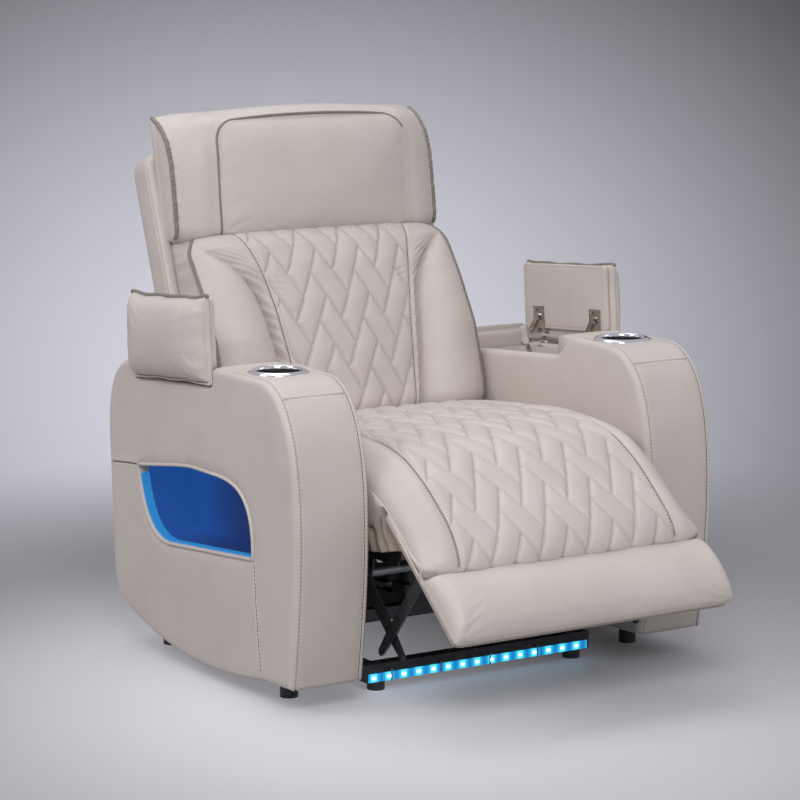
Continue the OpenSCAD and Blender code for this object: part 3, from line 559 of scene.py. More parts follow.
def arm_loop(mouth, slant):
    """The side view of an arm's wall, with the notch over its bin."""
    notch = [lid_yz(-slant, 0.038), lid_yz(0, mouth), lid_yz(BIN_L, mouth), lid_yz(BIN_L, 0.026)]
    top = rounded(np.array([front_curve[-1], *notch, rear_curve[0], rear_curve[4]]), 0.014, closed=False)
    return even(chain(front_curve, top, rear_curve[5:], [REAR_FOOT], bottom_curve), 0.008, closed=True)


def sliver(path):
    """The thin outline of a groove along a path."""
    path = even(np.array(path, float), SKIN_STEP)
    n = normals(path) * 0.0008
    return np.vstack([path + n, (path - n)[::-1]])


def slab(loop, x_face, way, hole=None, seams=()):
    """A padded arm wall: its face at x_face, its rounded edge, and its thickness along way."""
    s, out = Shape(), outward(loop)
    rows = [(EDGE_R * (1 - cos(a)), EDGE_R * (1 - sin(a))) for a in np.linspace(0, pi / 2, 6)]
    rows += [(EDGE_R + 0.0012, CREASE), (WALL, CREASE), (WALL, 0.010)]
    s.rings([at_x(x_face + way * d, loop - out * i) for d, i in rows])
    rim = loop - out * EDGE_R
    rings = []
    for ring, steps in ([] if hole is None else [(hole, POCKET_LIP)]) + [(sliver(p), SEAM_LIP) for p in seams]:
        out = outward(ring)
        s.rings([at_x(x_face + way * d, ring + out * off) for off, d in steps])
        rings.append(ring + out * steps[0][0])
        if steps is SEAM_LIP:
            v, f = fill(ring, step=1.0)
            s.add(at_x(x_face + way * steps[-1][1], v), f)
    v, f = fill(rim, rings, step=0.014)
    swell = 1 - np.exp(-near(v, rim, True)[0] / 0.03)
    for ring in rings:
        swell *= 1 - np.exp(-near(v, ring, True)[0] / 0.015)
    return s.add(np.column_stack([x_face - way * 0.0015 * swell, v]), f)


def band(path, cut=None, cross=()):
    """The upholstery across an arm, along a path in its side view, with seams across it."""
    x0, x1 = X_IN + EDGE_R, X_OUT - EDGE_R
    path = even(path, SKIN_STEP)
    run = lengths(path)
    for c in cross:
        extra = np.sort(np.concatenate([run, c + np.array([-0.006, -0.003, -0.0012, 0, 0.0012, 0.003, 0.006])]))
        path = sample(extra, run, path)[np.concatenate([[True], np.diff(extra) > 2e-4])]
        run = lengths(path)
    u = np.linspace(0, 1, int(round((x1 - x0) / SKIN_STEP)) + 1)
    edge = np.minimum(u, 1 - u) * (x1 - x0)
    lift = 0.0015 * (1 - np.exp(-edge / 0.02)) - CREASE * np.exp(-edge / 0.0022)
    for c in cross:
        lift = lift + (0.0006 * np.exp(-((run - c) / 0.005)**2) - 0.0028 * np.exp(-np.abs(run - c) / 0.0012))[:, None]
    p = np.zeros((len(path), len(u), 3))
    p[..., 0] = x0 + (x1 - x0) * u
    p[..., 1:] = path[:, None] - normals(path)[:, None] * np.broadcast_to(lift, p.shape[:2])[..., None]
    s = Shape().grid(p)
    if cut is not None:
        flat = p.reshape(-1, 3)
        s.f = [f for f in s.f if all(cut(flat[i]) for i in f)]
    return s


tip, toe = np.array([0.309, 0.381]), np.array([-0.154, 0.280])
pocket = even(chain(bezier(tip, tip + [-0.014, -0.071], tip + [-0.049, -0.136], tip + [-0.131, -0.132]),
                    bezier(toe, toe + [-0.001, 0.090], toe + [0.029, 0.132], toe + [0.134, 0.132]),
                    bezier(toe + [0.234, 0.132], toe + [0.300, 0.128], tip + [-0.090, 0.012], tip)),
              0.006, closed=True)
corner = (0.0, ARM_TOP)
over_front = chain([(-0.185, 0.048), (-0.292, 0.053)], front_curve, [(-0.02, ARM_TOP)],
                   bezier((-0.012, ARM_TOP), corner, corner, (0.0, ARM_TOP - 0.012), 6), [(0.0, 0.50)])
rear_top = lid_yz(BIN_L, 0.026)[1]
corner = (BIN_L + 0.004, rear_top)
over_rear = chain([(BIN_L + 0.006, 0.50)], [(BIN_L + 0.004, rear_top - 0.014)],
                  bezier((BIN_L + 0.004, rear_top - 0.010), corner, corner, (BIN_L + 0.016, rear_top - 0.001), 6),
                  rear_curve, [REAR_FOOT], bottom_curve)
deck = even(over_front, SKIN_STEP)
cross_at = near(np.array([(-0.250, 0.594)]), deck)[1]
arm_front_band = band(over_front, cross=cross_at,
                      cut=lambda p: hypot(p[0] - CUP_X, p[1] - CUP_Y) > 0.0535 or p[2] < 0.60)
arm_rear_band = band(over_rear)
welt_seam = [(0.3165, 0.3825), (0.36, 0.379), (0.425, 0.3715)]
toe_seam = [(-0.1615, 0.268), (-0.1665, 0.20), (-0.176, 0.12), (-0.1835, 0.066)]
outer_slab = slab(arm_loop(0.0010, 0.0), X_OUT, -1, hole=pocket, seams=[welt_seam, toe_seam])
inner_slab = slab(arm_loop(-0.0023, 0.060), X_IN, 1)
# the deck's side, seen in the slanted corner of the inner wall's notch
cheek = np.array([(-0.085, 0.540), (-0.0015, 0.540), (-0.0015, ARM_TOP - 0.0035), (-0.006, ARM_TOP - 0.0005),
                  (-0.085, ARM_TOP - 0.0005)])
cheek_rings = [at_x(X_IN + d, cheek) for d in (0.006, 0.008)]
inner_slab.rings(cheek_rings)
for ring in cheek_rings:
    inner_slab.add(ring, [(0, 1, 2, 3, 4)])
for side, sign in SIDES:
    for part, s in (("outer", outer_slab), ("inner", inner_slab)):
        s.on(sign).obj(f"arm_{side}_{part}_skin", LEATHER, "chair", "leather", [f"arm_{side}_{part}_panel"])
for name, s, gone in (("arm_front_band", arm_front_band, ["arm_front_panels", "arm_decks"]),
                      ("arm_rear_band", arm_rear_band, ["arm_rear_blocks", "arm_bottom_boards"])):
    Shape().merge(s).merge(s.on(-1)).obj(name, LEATHER, "chair", "leather", gone)

# seams and stitches along the bands' edges, across the front bands and on the outer faces
ROW = 0.0036  # from a seam to its stitches
inset = EDGE_R * (1 - sin(acos(1 - (EDGE_R - ROW) / EDGE_R)))
edge_runs = [even(p, SKIN_STEP) for p in (chain(front_curve, [(-0.06, ARM_TOP)]),
                                          chain([(0.34, 0.5945)], rear_curve[2:], [(0.4375, 0.29), REAR_FOOT]))]
across = np.linspace(X_IN + EDGE_R + 0.003, X_OUT - EDGE_R - 0.003, 30)
for _, sign in SIDES:
    for face, way in ((X_OUT, -1), (X_IN, 1)):
        for run in edge_runs:
            out = -normals(run)
            seam("chair", at_x(sign * (face + way * EDGE_R), run - out * 0.0012))
            stitch("chair", at_x(sign * (face + way * (EDGE_R + ROW)), run + out * 0.0006))
            stitch("chair", at_x(sign * (face + way * (EDGE_R - ROW)), run - out * (inset - 0.0003)))
    for off in (-ROW, 0, ROW):
        y, z = sample(cross_at[0] + off, lengths(deck), deck)
        up = 0.0009 if off else -0.0010
        (stitch if off else seam)("chair", np.column_stack([sign * across, np.full(30, y - up), np.full(30, z + up)]))
    path = even(np.array(toe_seam), SKIN_STEP)
    for off in (-ROW, ROW):
        stitch("chair", at_x(sign * (X_OUT + 0.0004), path + normals(path) * off))
    for line in (path, even(np.array(welt_seam), SKIN_STEP)):
        seam("chair", at_x(sign * (X_OUT - 0.0008), line))

# ---------------------------------------------------------------- quilting
E1, E2, CELL = np.array([0.0258, -0.0517]), np.array([0.0258, 0.0517]), 0.1034


def quilt_lines(phase, x_lim, s0, s1):
    """The grooves of the braid: pairs of points in (x, s)."""
    lines = []
    for i in range(-5, 6):
        for j in range(-6, 12):
            a = np.array(phase) + [CELL * i, CELL * j]
            for p, q in ((a, a + 3 * E2), (a + 2 * E2, a + 2 * E2 + 3 * E1)):
                if (max(abs(p[0]), abs(q[0])) < x_lim + 0.16 and s0 - 0.2 < min(p[1], q[1])
                        and max(p[1], q[1]) < s1 + 0.2):
                    lines.append((p, q))
    return lines


def quilt_relief(x, s, lines, puff=0.0062, wide=0.0080, deep=0.0036, sharp=0.0019, reach=0.05):
    """Height of the quilting by the distance from its nearest groove."""
    xs = np.column_stack([x.ravel(), s.ravel()])
    d = np.full(len(xs), 9.0)
    for p, q in lines:
        box = np.all((xs > np.minimum(p, q) - reach) & (xs < np.maximum(p, q) + reach), axis=1)
        if box.any():
            r = xs[box] - p
            t = np.clip(r @ (q - p) / ((q - p) @ (q - p)), 0, 1)
            d[box] = np.minimum(d[box], np.linalg.norm(r - t[:, None] * (q - p), axis=1))
    d = d.reshape(x.shape)
    return puff * (1 - np.exp(-d / wide)) - deep * np.exp(-(d / sharp)**2)


# ---------------------------------------------------------------- seat and leg rest, one padded chaise
SEAT_HALF, SEAT_FLAT, SHOULDER, STITCH_X, STEP = 0.306, 0.238, 0.052, 0.240, 0.0026


def leg_yz(*uv):
    """Points of the leg rest's side view in the chair's Y and Z."""
    return LEG.at(0, *np.transpose(uv))[:, 1:]


seat_yz = [(0.12, 0.470), (0, 0.482), (-0.10, 0.488), (-0.22, 0.487), (-0.30, 0.472)]
top_path = even(smooth([(0.235, 0.440), (0.205, 0.458), *seat_yz, *leg_yz(
    (0.000, 0.0675), (0.060, 0.0720), (0.110, 0.0722), (0.150, 0.0665), (0.174, 0.0585), (0.1870, 0.0490),
    (0.1915, 0.0400), (0.192, 0.020))], 20), STEP)
low_pts = np.array([(0.226, 0.394), (0.17, 0.394), (0.125, 0.345), (0, 0.335), (-0.10, 0.335), (-0.215, 0.335),
                    (-0.296, 0.345), *leg_yz(*((u, 0.0175) for u in (0.008, 0.11, 0.150, 0.185, 0.190)))])
# where the points of the underside stand along the top
knots = np.array([(0.235, 0.440), (0.17, 0.463), *seat_yz, *leg_yz(
    (0.000, 0.0675), (0.110, 0.0722), (0.150, 0.0665), (0.1870, 0.0490), (0.192, 0.020))])
top_s, top_n = lengths(top_path), upward(top_path)
zero = near(np.array([seat_yz[0]]), top_path)[1][0]
knot_s = near(knots, top_path)[1]
knot_s[0], knot_s[-1] = 0, top_s[-1]
low_path = sample(top_s, knot_s, low_pts)
seat_s = top_s - zero
SEAM_S = float(near(leg_yz((0.1900, 0.0440)), top_path)[1][0] - zero)
flat_x = np.arange(0, SEAT_FLAT - 0.002, STEP)
round_x = SEAT_FLAT + (SEAT_HALF - SEAT_FLAT) * np.sin(np.linspace(0, pi / 2, 26))
half_x = np.unique(np.concatenate([flat_x, round_x[round_x > STITCH_X + 0.003],
                                   STITCH_X + np.array([-0.0026, -0.0012, 0, 0.0012, 0.0026])]))
half_d = SHOULDER * (1 - np.sqrt(1 - (np.clip(half_x - SEAT_FLAT, 0, None) / (SEAT_HALF - SEAT_FLAT))**2))
seat_lines = quilt_lines((-0.1214, 0.390), 0.24, -0.15, 0.690)


def widened(x, s):
    """The face grows a little wider toward the cross seam."""
    return x * (1 + 0.022 * step_up((s - SEAM_S + 0.10) / 0.10))


def shoulder_drop(x, s):
    """How far the face falls toward its sides, less at the cross seam."""
    return np.interp(np.abs(x), half_x, half_d) * (1 - 0.62 * step_up((s - SEAM_S + 0.085) / 0.085))


def seat_lift(x, s):
    """Height of the padding on the face: quilting, rows of stitches, gathers and creases."""
    x, s = np.broadcast_arrays(x, s)
    a = np.abs(x)
    h = quilt_relief(x, s, seat_lines)
    h = h * step_up((STITCH_X - 0.002 - a) / 0.008) * step_up((SEAM_S + 0.006 - s) / 0.006)
    h = h - 0.0052 * np.exp(-np.abs(a - STITCH_X) / 0.0034) * step_up((SEAM_S + 0.004 - s) / 0.01)
    h += 0.0036 * step_up((a - STITCH_X) / 0.02) * step_up((SEAT_HALF - 0.012 - a) / 0.03)
    h += 0.006 * (1 - (x / SEAT_HALF)**2)
    # the cover is gathered a little at the corners of the cross seam
    pucker = np.exp(-((SEAM_S - s) / 0.018)) * step_up((a - 0.262) / 0.03) * (s < SEAM_S)
    h += 0.0012 * pucker * np.sin(x * TAU / 0.0145 + 0.8)
    return h + 0.0016 * np.sin(s * 27 + 2 * np.sign(x)) * step_up((a - 0.245) / 0.02)


def on_seat(x, s, up):
    """Points on the chaise's face, x across and s along it."""
    yz, n = (sample(s + zero, top_s, p) for p in (top_path, top_n))
    return at_x(widened(x, s), yz + n * (seat_lift(x, s) - shoulder_drop(x, s) + up)[:, None])


S, X = np.meshgrid(seat_s, np.concatenate([-half_x[:0:-1], half_x]), indexing="ij")
up = seat_lift(X, S) * step_up((top_s[-1] - top_s) / 0.02)[:, None] - shoulder_drop(X, S)
face = np.concatenate([widened(X, S)[..., None], top_path[:, None] + top_n[:, None] * up[..., None]], 2)
# the sides fall from the shoulder to the underside, drawn in a little at the bottom
rows = []
for t in np.arange(1, 11) / 10:
    w = 0.3 * step_up(t) + 0.7 * t
    x = face[:, -1, 0] - 0.008 * t**2 + (0.004 + 0.0012 * np.sin(seat_s * 70)) * sin(pi * t)
    rows.append(at_x(x, face[:, -1, 1:] * (1 - w) + low_path * w))
right = np.stack(rows, 1)
under = np.stack([at_x(x, low_path) for x in np.linspace(0.28, -0.28, 9)], 1)
around = np.concatenate([face, right, under, right[:, ::-1] * [-1, 1, 1]], 1)
chaise = Shape().grid(around, close_j=True)
for end in (around[0], around[-1]):
    rows = [end + (end.mean(0) - end) * 0.999 * k / 6 for k in range(7)]
    chaise.rings(rows).fan(rows[-1])
chaise_obj = chaise.obj("chaise_cover", LEATHER, None, "leather", ["seat_cushion", "leg_rest_pad"])
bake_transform(chaise_obj)
run = np.arange(-0.06, SEAM_S - 0.006, 0.004)
for _, sign in SIDES:
    for sew, off, r in ((stitch, 0.0042, 0.0010), (seam, 0.0016, 0.0006)):
        for x in (STITCH_X - off, STITCH_X + off):
            sew("chaise", on_seat(np.full(len(run), sign * x), run, 0.0004), r=r)

# the bolster at the end of the leg rest, sewn to the quilting
BOL_HALF, BOL_ROUND, BOL_FOOT = 0.3175, 0.286, 0.0185
key = even(smooth([(0.1935, 0.018), (0.1932, 0.034), (0.1975, 0.0475), (0.2120, 0.0585), (0.2450, 0.0662),
                   (0.2820, 0.0645), (0.3130, 0.0550), (0.3310, 0.0415), (0.3385, 0.0270), (0.3360, 0.0185)], 10),
           0.0048)
key_run, key_out = lengths(key) / lengths(key)[-1], upward(key)
seamed = np.exp(-key_run / 0.10) + np.exp(-(1 - key_run) / 0.08)
rows = []
for x in np.concatenate([np.linspace(-1, -0.9, 14, endpoint=False), np.linspace(-0.9, 0.9, 116),
                         np.linspace(0.9, 1, 15)[1:]]) * BOL_HALF:
    t = np.clip((abs(x) - BOL_ROUND) / (BOL_HALF - BOL_ROUND), 0, 1)
    g = sqrt(max(0.0, 1 - t**2.4))
    wave = 0.0012 * sin(x * 41 + 1.3) * np.sin(pi * key_run) \
        + 0.0017 * exp(-(BOL_HALF - abs(x)) / 0.030) * seamed * sin(x * TAU / 0.013) \
        + 0.0007 * sin(x * TAU / 0.019 + 4 * sin(x * 23)) * np.exp(-(1 - key_run) / 0.10)
    u, v = (key + key_out * (wave * g)[:, None]).T
    rows.append(LEG.at(x, 0.262 + (u - 0.262) * (0.965 + 0.035 * g), BOL_FOOT + (v - BOL_FOOT) * (0.16 + 0.84 * g)))
bolster_obj = Shape().rings(rows).fan(rows[0], rows[-1]).obj("leg_bolster_cover", LEATHER, "leg_rest", "leather")


def bolster_held(q):
    u, v = LEG.sn(q)
    return (v < 0.0225) | (u < 0.2010)


fill_out(bolster_obj, bolster_held)


def wrapped_board(outline, rings, place):
    """A board wrapped in leather: its outline, and rings of (height, inset) from one face to the other."""
    out = outward(outline)
    s = Shape().rings([place(outline - out * i, h) for h, i in rings])
    for h, i in (rings[0], rings[-1]):
        v, f = fill(outline - out * i, step=0.02)
        s.add(place(v, h), f)
    return s


border = wrapped_board(rect(-0.3115, 0.3115, 0.020, 0.3325, 0.016),
                       [(0.0042, 0.008), (0.0045, 0.003), (0.0060, 0.0006), (0.0095, 0.0), (0.0160, 0.0004),
                        (0.0180, 0.002), (0.0185, 0.010)], lambda p, h: LEG.at(*p.T, h))
border.obj("leg_rest_border", WRAP, "leg_rest", "leather", ["leg_rest_board"])
line = rect(-0.3122, 0.3122, 0.020, 0.3332, 0.016)
line = line[line[:, 1] > 0.07]
line = line[np.argsort(np.arctan2(line[:, 0], line[:, 1] - 0.05))]
piping("leg_rest_welt", [LEG.at(*line.T, 0.0178)], "leg_rest", r=0.0021, mat=LEATHER)

# pleated gussets between the seat's front corners and the mechanism
Z, Y = np.meshgrid(np.linspace(0, 1, 30), np.linspace(-0.400, -0.19, 72), indexing="ij")
roof = np.interp(Y, [-0.400, -0.345, -0.32, -0.19], [0.341, 0.386, 0.430, 0.440])
low = np.interp(Y, [-0.400, -0.36, -0.32, -0.25, -0.19], [0.318, 0.310, 0.300, 0.290, 0.300])
fold = np.sin((Y + 0.05 * Z) * TAU / 0.034 + 1.6 * Z) * (0.25 + 0.75 * np.sin(pi * Z * 0.85))
gx = 0.2960 + 0.0045 * fold + 0.0012 * np.sin(Z * 23 + Y * 40)
face, rear = (np.stack([x, Y, roof * (1 - Z) + low * Z], -1) for x in (gx, gx - 0.0022))
gusset = Shape().grid(face).grid(rear[:, ::-1]).rings(rim_of(face, rear))
for side, sign in SIDES:
    o = gusset.on(sign).obj(f"seat_gusset_{side}", FABRIC, None, "leather")
    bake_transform(o)

# ---------------------------------------------------------------- back cushion
BACK_REAR, S0, S1 = -0.080, 0.078, 0.490
# the face's edge, the wing's seam and the row of stitches along the back: n or x at a height s
EDGE_N = ([0.072, 0.134, 0.254, 0.363, 0.430, 0.490], [0.032, 0.042, 0.0468, 0.0257, 0.006, -0.0160])
WING_X = ([0.08, 0.15, 0.20, 0.25, 0.30, 0.345, 0.385, 0.42, 0.45, 0.468],
          [0.155, 0.162, 0.169, 0.176, 0.183, 0.193, 0.209, 0.236, 0.272, 0.306])
WING_N = ([0.069, 0.2146, 0.2837, 0.349, 0.412, 0.456, 0.470], [0.018, 0.0370, 0.0380, 0.0340, 0.028, 0.012, -0.004])
SEW_X = ([0.08, 0.12, 0.22, 0.30, 0.36, 0.41, 0.44, 0.49], [0.137, 0.141, 0.149, 0.159, 0.169, 0.180, 0.188, 0.203])
SEW_N = ([0.0718, 0.2155, 0.3208, 0.406, 0.450, 0.490], [0.0400, 0.0520, 0.0550, 0.0500, 0.040, 0.018])
back_lines = quilt_lines((-0.0711, -0.3849), 0.21, -0.53, -0.03)


def back_edge(s):
    """Half the width of the back's face."""
    return 0.310 - 0.030 * np.clip((s - 0.440) / 0.050, 0, 1)**2 - 0.012 * np.clip((0.100 - s) / 0.022, 0, 1)**2


def back_height(x, s):
    """How far the back's face stands off: quilted middle, strips beside it and wings."""
    x, s = np.broadcast_arrays(x, s)
    a, half = np.abs(x), back_edge(s)
    xw = np.minimum(np.interp(s, *WING_X), half - 0.001)
    xs = np.minimum(np.interp(s, *SEW_X), xw - 0.010)
    nw, ns, ne = np.interp(s, *WING_N), np.interp(s, *SEW_N), np.interp(s, *EDGE_N)
    tc, tm = np.clip(a / xs, 0, 1), np.clip((a - xs) / (xw - xs), 0, 1)
    ww = np.maximum(half - xw, 1e-4)
    tw = np.clip((a - xw) / ww, 0, 1)
    under = (0.013 * step_up((0.43 - s) / 0.10)) * np.where(x < 0, 1, 0.55)
    strip = ns * (1 - tm) + (nw - under) * tm + 0.009 * np.sin(pi * tm)
    wing = nw * (1 - tw) + ne * tw + np.minimum(0.040, 0.30 * ww) * np.sin(pi * tw)**0.72
    h = np.where(a < xs, ns + 0.013 * (1 - tc**2), np.where(a < xw, strip, wing))
    h = h + step_up((xs - a) / 0.009) * quilt_relief(x, -s, back_lines)
    h -= 0.0052 * np.exp(-np.abs(a - xs) / 0.0042)
    h += 0.0016 * np.exp(-((a - xs - 0.0075) / 0.004)**2)
    # the strip is gathered into the wing's seam in slanting folds
    phase = (s - 1.7 * (a - xw)) * TAU / 0.029 + 1.3 * np.sin(s * 47 + np.sign(x)) + np.where(x > 0, 1.7, 0)
    fold = (np.abs(np.sin(phase / 2))**0.55 - 0.62) * (0.72 + 0.28 * np.sin(s * 83 + 2.1 + np.sign(x)))
    amount = step_up((0.462 - s) / 0.04) * (0.55 + 0.45 * step_up((s - 0.09) / 0.06))
    across = np.where((a > xs) & (a < xw), step_up(tm / 0.75) * (1 - 0.25 * tm), 0)
    h += 0.0175 * np.where(x < 0, 1.15, 0.6) * fold * amount * across
    h -= 0.0055 * amount * np.exp(-((a - xw) / 0.0032)**2)
    h -= 0.0026 * (0.5 - fold) * amount * np.exp(-tw * ww / 0.010) * (a >= xw)
    # a few loose creases inside the stitches, where the leather is drawn up
    crease = np.exp(-((a - xs + 0.022) / 0.018)**2) * step_up((s - 0.33) / 0.03) * step_up((0.41 - s) / 0.03)
    h += 0.0007 * crease * np.sin((s - 0.3 * a) * TAU / 0.013)
    low, high = np.clip((s - S0) / 0.034, 0, 1), np.clip((S1 - s) / 0.030, 0, 1)
    return h - (0.026 * (1 - np.sqrt(1 - (1 - low)**2)) + 0.020 * (1 - np.sqrt(1 - (1 - high)**2)))


S, U = np.meshgrid(np.linspace(S0, S1, int((S1 - S0) / STEP) + 1), np.linspace(-1, 1, int(0.62 / STEP) + 1),
                   indexing="ij")
X = U * back_edge(S)
H = back_height(X, S)
back = Shape().grid(BACK.at(X, S, H))
loop_x, loop_s, loop_n = rim_of(X, S, H)
wide = np.abs(loop_x) > 0.27
away_x = np.where(wide, np.sign(loop_x), 0)
away_s = np.where((loop_s < S0 + 1e-6) | (loop_s > S1 - 1e-6), np.sign(loop_s - (S0 + S1) / 2), 0)
rows = []
for t in np.concatenate([[0, 0.02, 0.05, 0.09, 0.14], np.linspace(0.2, 1, 9)]):
    bulge = 0.007 * sin(pi * t)**0.8 - (0.0035 * exp(-(t / 0.05)**2) if t > 0 else 0)
    x = loop_x * (1 - t) + np.sign(loop_x) * np.where(wide, 0.308, np.abs(loop_x)) * t + bulge * away_x * 0.4
    crinkle = 0.0012 * np.sin(loop_s * 190 + 2 * np.sin(loop_s * 40)) * sin(pi * t)
    rows.append(BACK.at(x + crinkle * away_x, loop_s + bulge * away_s, loop_n * (1 - t) + BACK_REAR * t))
back_obj = back.rings(rows).fan(rows[-1]).obj("back_cushion_cover", LEATHER, "back", "leather", ["back_cushion"])
s = np.linspace(S0 + 0.004, S1, 90)
half, sew_x = back_edge(s), np.minimum(np.interp(s, *SEW_X), np.interp(s, *WING_X) - 0.010)
piping("back_piping", [BACK.at(sign * (half + 0.0012), s, back_height(sign * half * 0.9995, s) + 0.0012)
                       for _, sign in SIDES], "back", r=0.0038)
for _, sign in SIDES:
    for sew, off, up, r in ((stitch, -0.0030, 0.0003, 0.0010), (stitch, 0.0030, 0.0003, 0.0010),
                            (seam, 0, 0.0017, 0.0008)):
        x = sign * (sew_x + off)
        sew("back", BACK.at(x, s, back_height(x, s) + up), r=r)

# the shell behind it: a padded tray whose rim stands around the headrest
SHELL_REAR = -0.137
shell_half = np.array([(0.310, -0.100), (0.310, 0.330), (0.335, 0.352), (0.335, 0.690)])
shell_corners = np.vstack([[(-0.310, -0.100)], shell_half, (shell_half * [-1, 1])[:0:-1]])
loop = even(rounded(shell_corners, 0.040), 0.007, closed=True)
out = outward(loop)
front_n = -0.082 + 0.016 * step_up((loop[:, 1] - 0.335) / 0.03)
# rings from the rear to the front and back inside: part of the depth, inset
rows = []
for f, inset in [(0, 0.014), (0.03, 0.006), (0.08, 0.001), (0.16, 0), (0.4, -0.0015), (0.7, -0.001), (0.86, 0.0),
                 (0.90, 0.0006), (0.915, 0.0028), (0.93, 0.0010), (0.96, 0.0018), (0.985, 0.0045), (1.0, 0.009),
                 (1.0, 0.014), (0.97, 0.020), (0.88, 0.028), (0.70, 0.036)]:
    rows.append(BACK.at(*(loop - out * inset).T, SHELL_REAR + (front_n - SHELL_REAR) * f))
rim = loop - out * 0.014
v, f = fill(rim, step=0.016)
shell = Shape().rings(rows).add(
    BACK.at(*v.T, SHELL_REAR - 0.004 * (1 - np.exp(-near(v, rim, True)[0] / 0.05))), f)
shell.add(BACK.at(np.array([-0.30, 0.30, 0.30, -0.30]), np.array([-0.06, -0.06, 0.65, 0.65]), -0.106), [(0, 1, 2, 3)])
shell.obj("back_shell_cover", LEATHER, "back", "leather", ["back_shell"])
sewn = BACK.at(*(loop + out * 0.0002).T, SHELL_REAR + (front_n - SHELL_REAR) * 0.865)
stitch("back", np.vstack([sewn, sewn[:1]]))

# ---------------------------------------------------------------- headrest
HD_HALF, PANEL, HD_ROWS, HEAD_TOP, HEAD_R = 0.311, 0.226, 140, 0.240, 0.048
# side views of its cover, (s, n), at its ends, at its panel's piping and in its middle
HEAD_KEYS = [
    [(0.006, -0.082), (0.000, -0.050), (0.002, -0.030), (0.014, -0.019), (0.050, -0.0140), (0.117, -0.0113),
     (0.156, -0.0108), (0.2015, -0.0175), (0.2260, -0.030), (0.2492, -0.0500), (0.262, -0.068), (0.266, -0.082)],
    [(0.006, -0.082), (-0.004, -0.030), (0.001, 0.000), (0.012, 0.014), (0.074, 0.0215), (0.1145, 0.0266),
     (0.178, 0.0344), (0.214, 0.0330), (0.243, 0.018), (0.258, -0.012), (0.268, -0.050), (0.268, -0.082)],
    [(0.006, -0.082), (-0.006, -0.020), (-0.002, 0.022), (0.012, 0.040), (0.074, 0.0560), (0.1145, 0.0590),
     (0.178, 0.0580), (0.222, 0.0450), (0.256, 0.024), (0.270, -0.010), (0.276, -0.048), (0.270, -0.082)]]
keys = []
for key in HEAD_KEYS:
    key = smooth(key, 16)
    keys.append(sample(np.linspace(0, lengths(key)[-1], HD_ROWS), lengths(key), key))


def head_surface(x, v):
    """A point of the headrest's wrapped face: x across, v from the rear of its foot (0) to the rear of its top (1)."""
    x, v = np.broadcast_arrays(np.asarray(x, float), np.asarray(v, float))
    t, every, last = v * (HD_ROWS - 1), np.arange(HD_ROWS), HD_ROWS - 1
    ends, edge, middle = (sample(t, every, key) for key in keys)
    a = np.abs(x)
    inner = (1 - (a / PANEL)**2)[..., None]
    outer = np.clip((a - PANEL) / (HD_HALF - PANEL), 0, 1)
    p = np.where(a[..., None] < PANEL, edge + (middle - edge) * inner,
                 edge * (1 - outer[..., None]) + ends * outer[..., None])
    # directions off the face, for puffs and seams
    d = sample(np.minimum(t + 0.28, last), every, keys[1]) - sample(np.maximum(t - 0.28, 0), every, keys[1])
    d /= np.maximum(np.linalg.norm(d, axis=-1), 1e-9)[..., None]
    off = np.stack([-d[..., 1], d[..., 0]], -1)
    front = step_up((p[..., 1] + 0.03) / 0.03)
    # signed distance inside the pillow panel's outline, open at its foot
    qx, qy = a - (PANEL - HEAD_R), p[..., 0] - (HEAD_TOP - HEAD_R)
    dist = HEAD_R - np.hypot(np.maximum(qx, 0), np.maximum(qy, 0)) - np.minimum(np.maximum(qx, qy), 0)
    lift = np.where(dist > 0, 0.0085 * (1 - np.exp(-dist / 0.011)), 0.0045 * (1 - np.exp(dist / 0.012))) * front
    lift -= 0.0025 * np.exp(-np.abs(dist) / 0.003) * front
    lift += 0.008 * np.sin(pi * outer) * (a > PANEL) * step_up(v / 0.1) * step_up((1 - v) / 0.1)
    lift -= 0.003 * (1 - np.clip((HD_HALF - a) / 0.012, 0, 1))**2
    lift += 0.0010 * np.exp(-(HD_HALF - a) / 0.010) * np.sin(v * 160 + 3 * np.sin(v * 37)) * step_up(v / 0.1)
    return p + off * lift[..., None]


def on_head(xv, up=0.0):
    """Points on the headrest's face, or up off it."""
    xv = np.asarray(xv)
    p = head_surface(*xv.T)
    return HEAD.at(xv[:, 0], p[:, 0], p[:, 1] + up)


def panel_v(s):
    """The v at which the face stands at height s, on its front at the panel's edge."""
    v = np.linspace(0.28, 0.80, 400)
    return float(np.interp(s, head_surface(np.full(400, PANEL), v)[:, 0], v))


def panel_edge(foot, n):
    """The panel's edge on the right: up from its foot, and n points around its corner."""
    straight = [(PANEL, v) for v in np.linspace(foot, panel_v(HEAD_TOP - HEAD_R), 60)]
    return straight, [(PANEL - HEAD_R + HEAD_R * cos(t), panel_v(HEAD_TOP - HEAD_R + HEAD_R * sin(t)))
                      for t in np.linspace(0, pi / 2, n)]


hx = np.linspace(-HD_HALF, HD_HALF, int(2 * HD_HALF / 0.0036) + 1)
V, X = np.meshgrid(np.linspace(0, 1, HD_ROWS), hx, indexing="ij")
Q = head_surface(X, V)
head = Shape().grid(HEAD.at(X, Q[..., 0], Q[..., 1]))
end = Q[:, -1]
out = outward(end)
v, f = fill(end - out * 0.006, step=0.010)
puff = 0.0055 + 0.006 * (1 - np.exp(-near(v, end, True)[0] / 0.02))
for _, sign in SIDES:
    head.rings([HEAD.at(sign * (HD_HALF + dx), *(end - out * inset).T)
                for dx, inset in ((0, 0), (0.0006, 0.0022), (0.003, 0.0030), (0.0055, 0.006))])
    head.add(HEAD.at(sign * (HD_HALF + puff), *v.T), f)
t = np.linspace(0, 1, 16)[:, None, None]
rear = Q[-1] * (1 - t) + Q[0] * t
head.grid(HEAD.at(hx, rear[..., 0], rear[..., 1]))
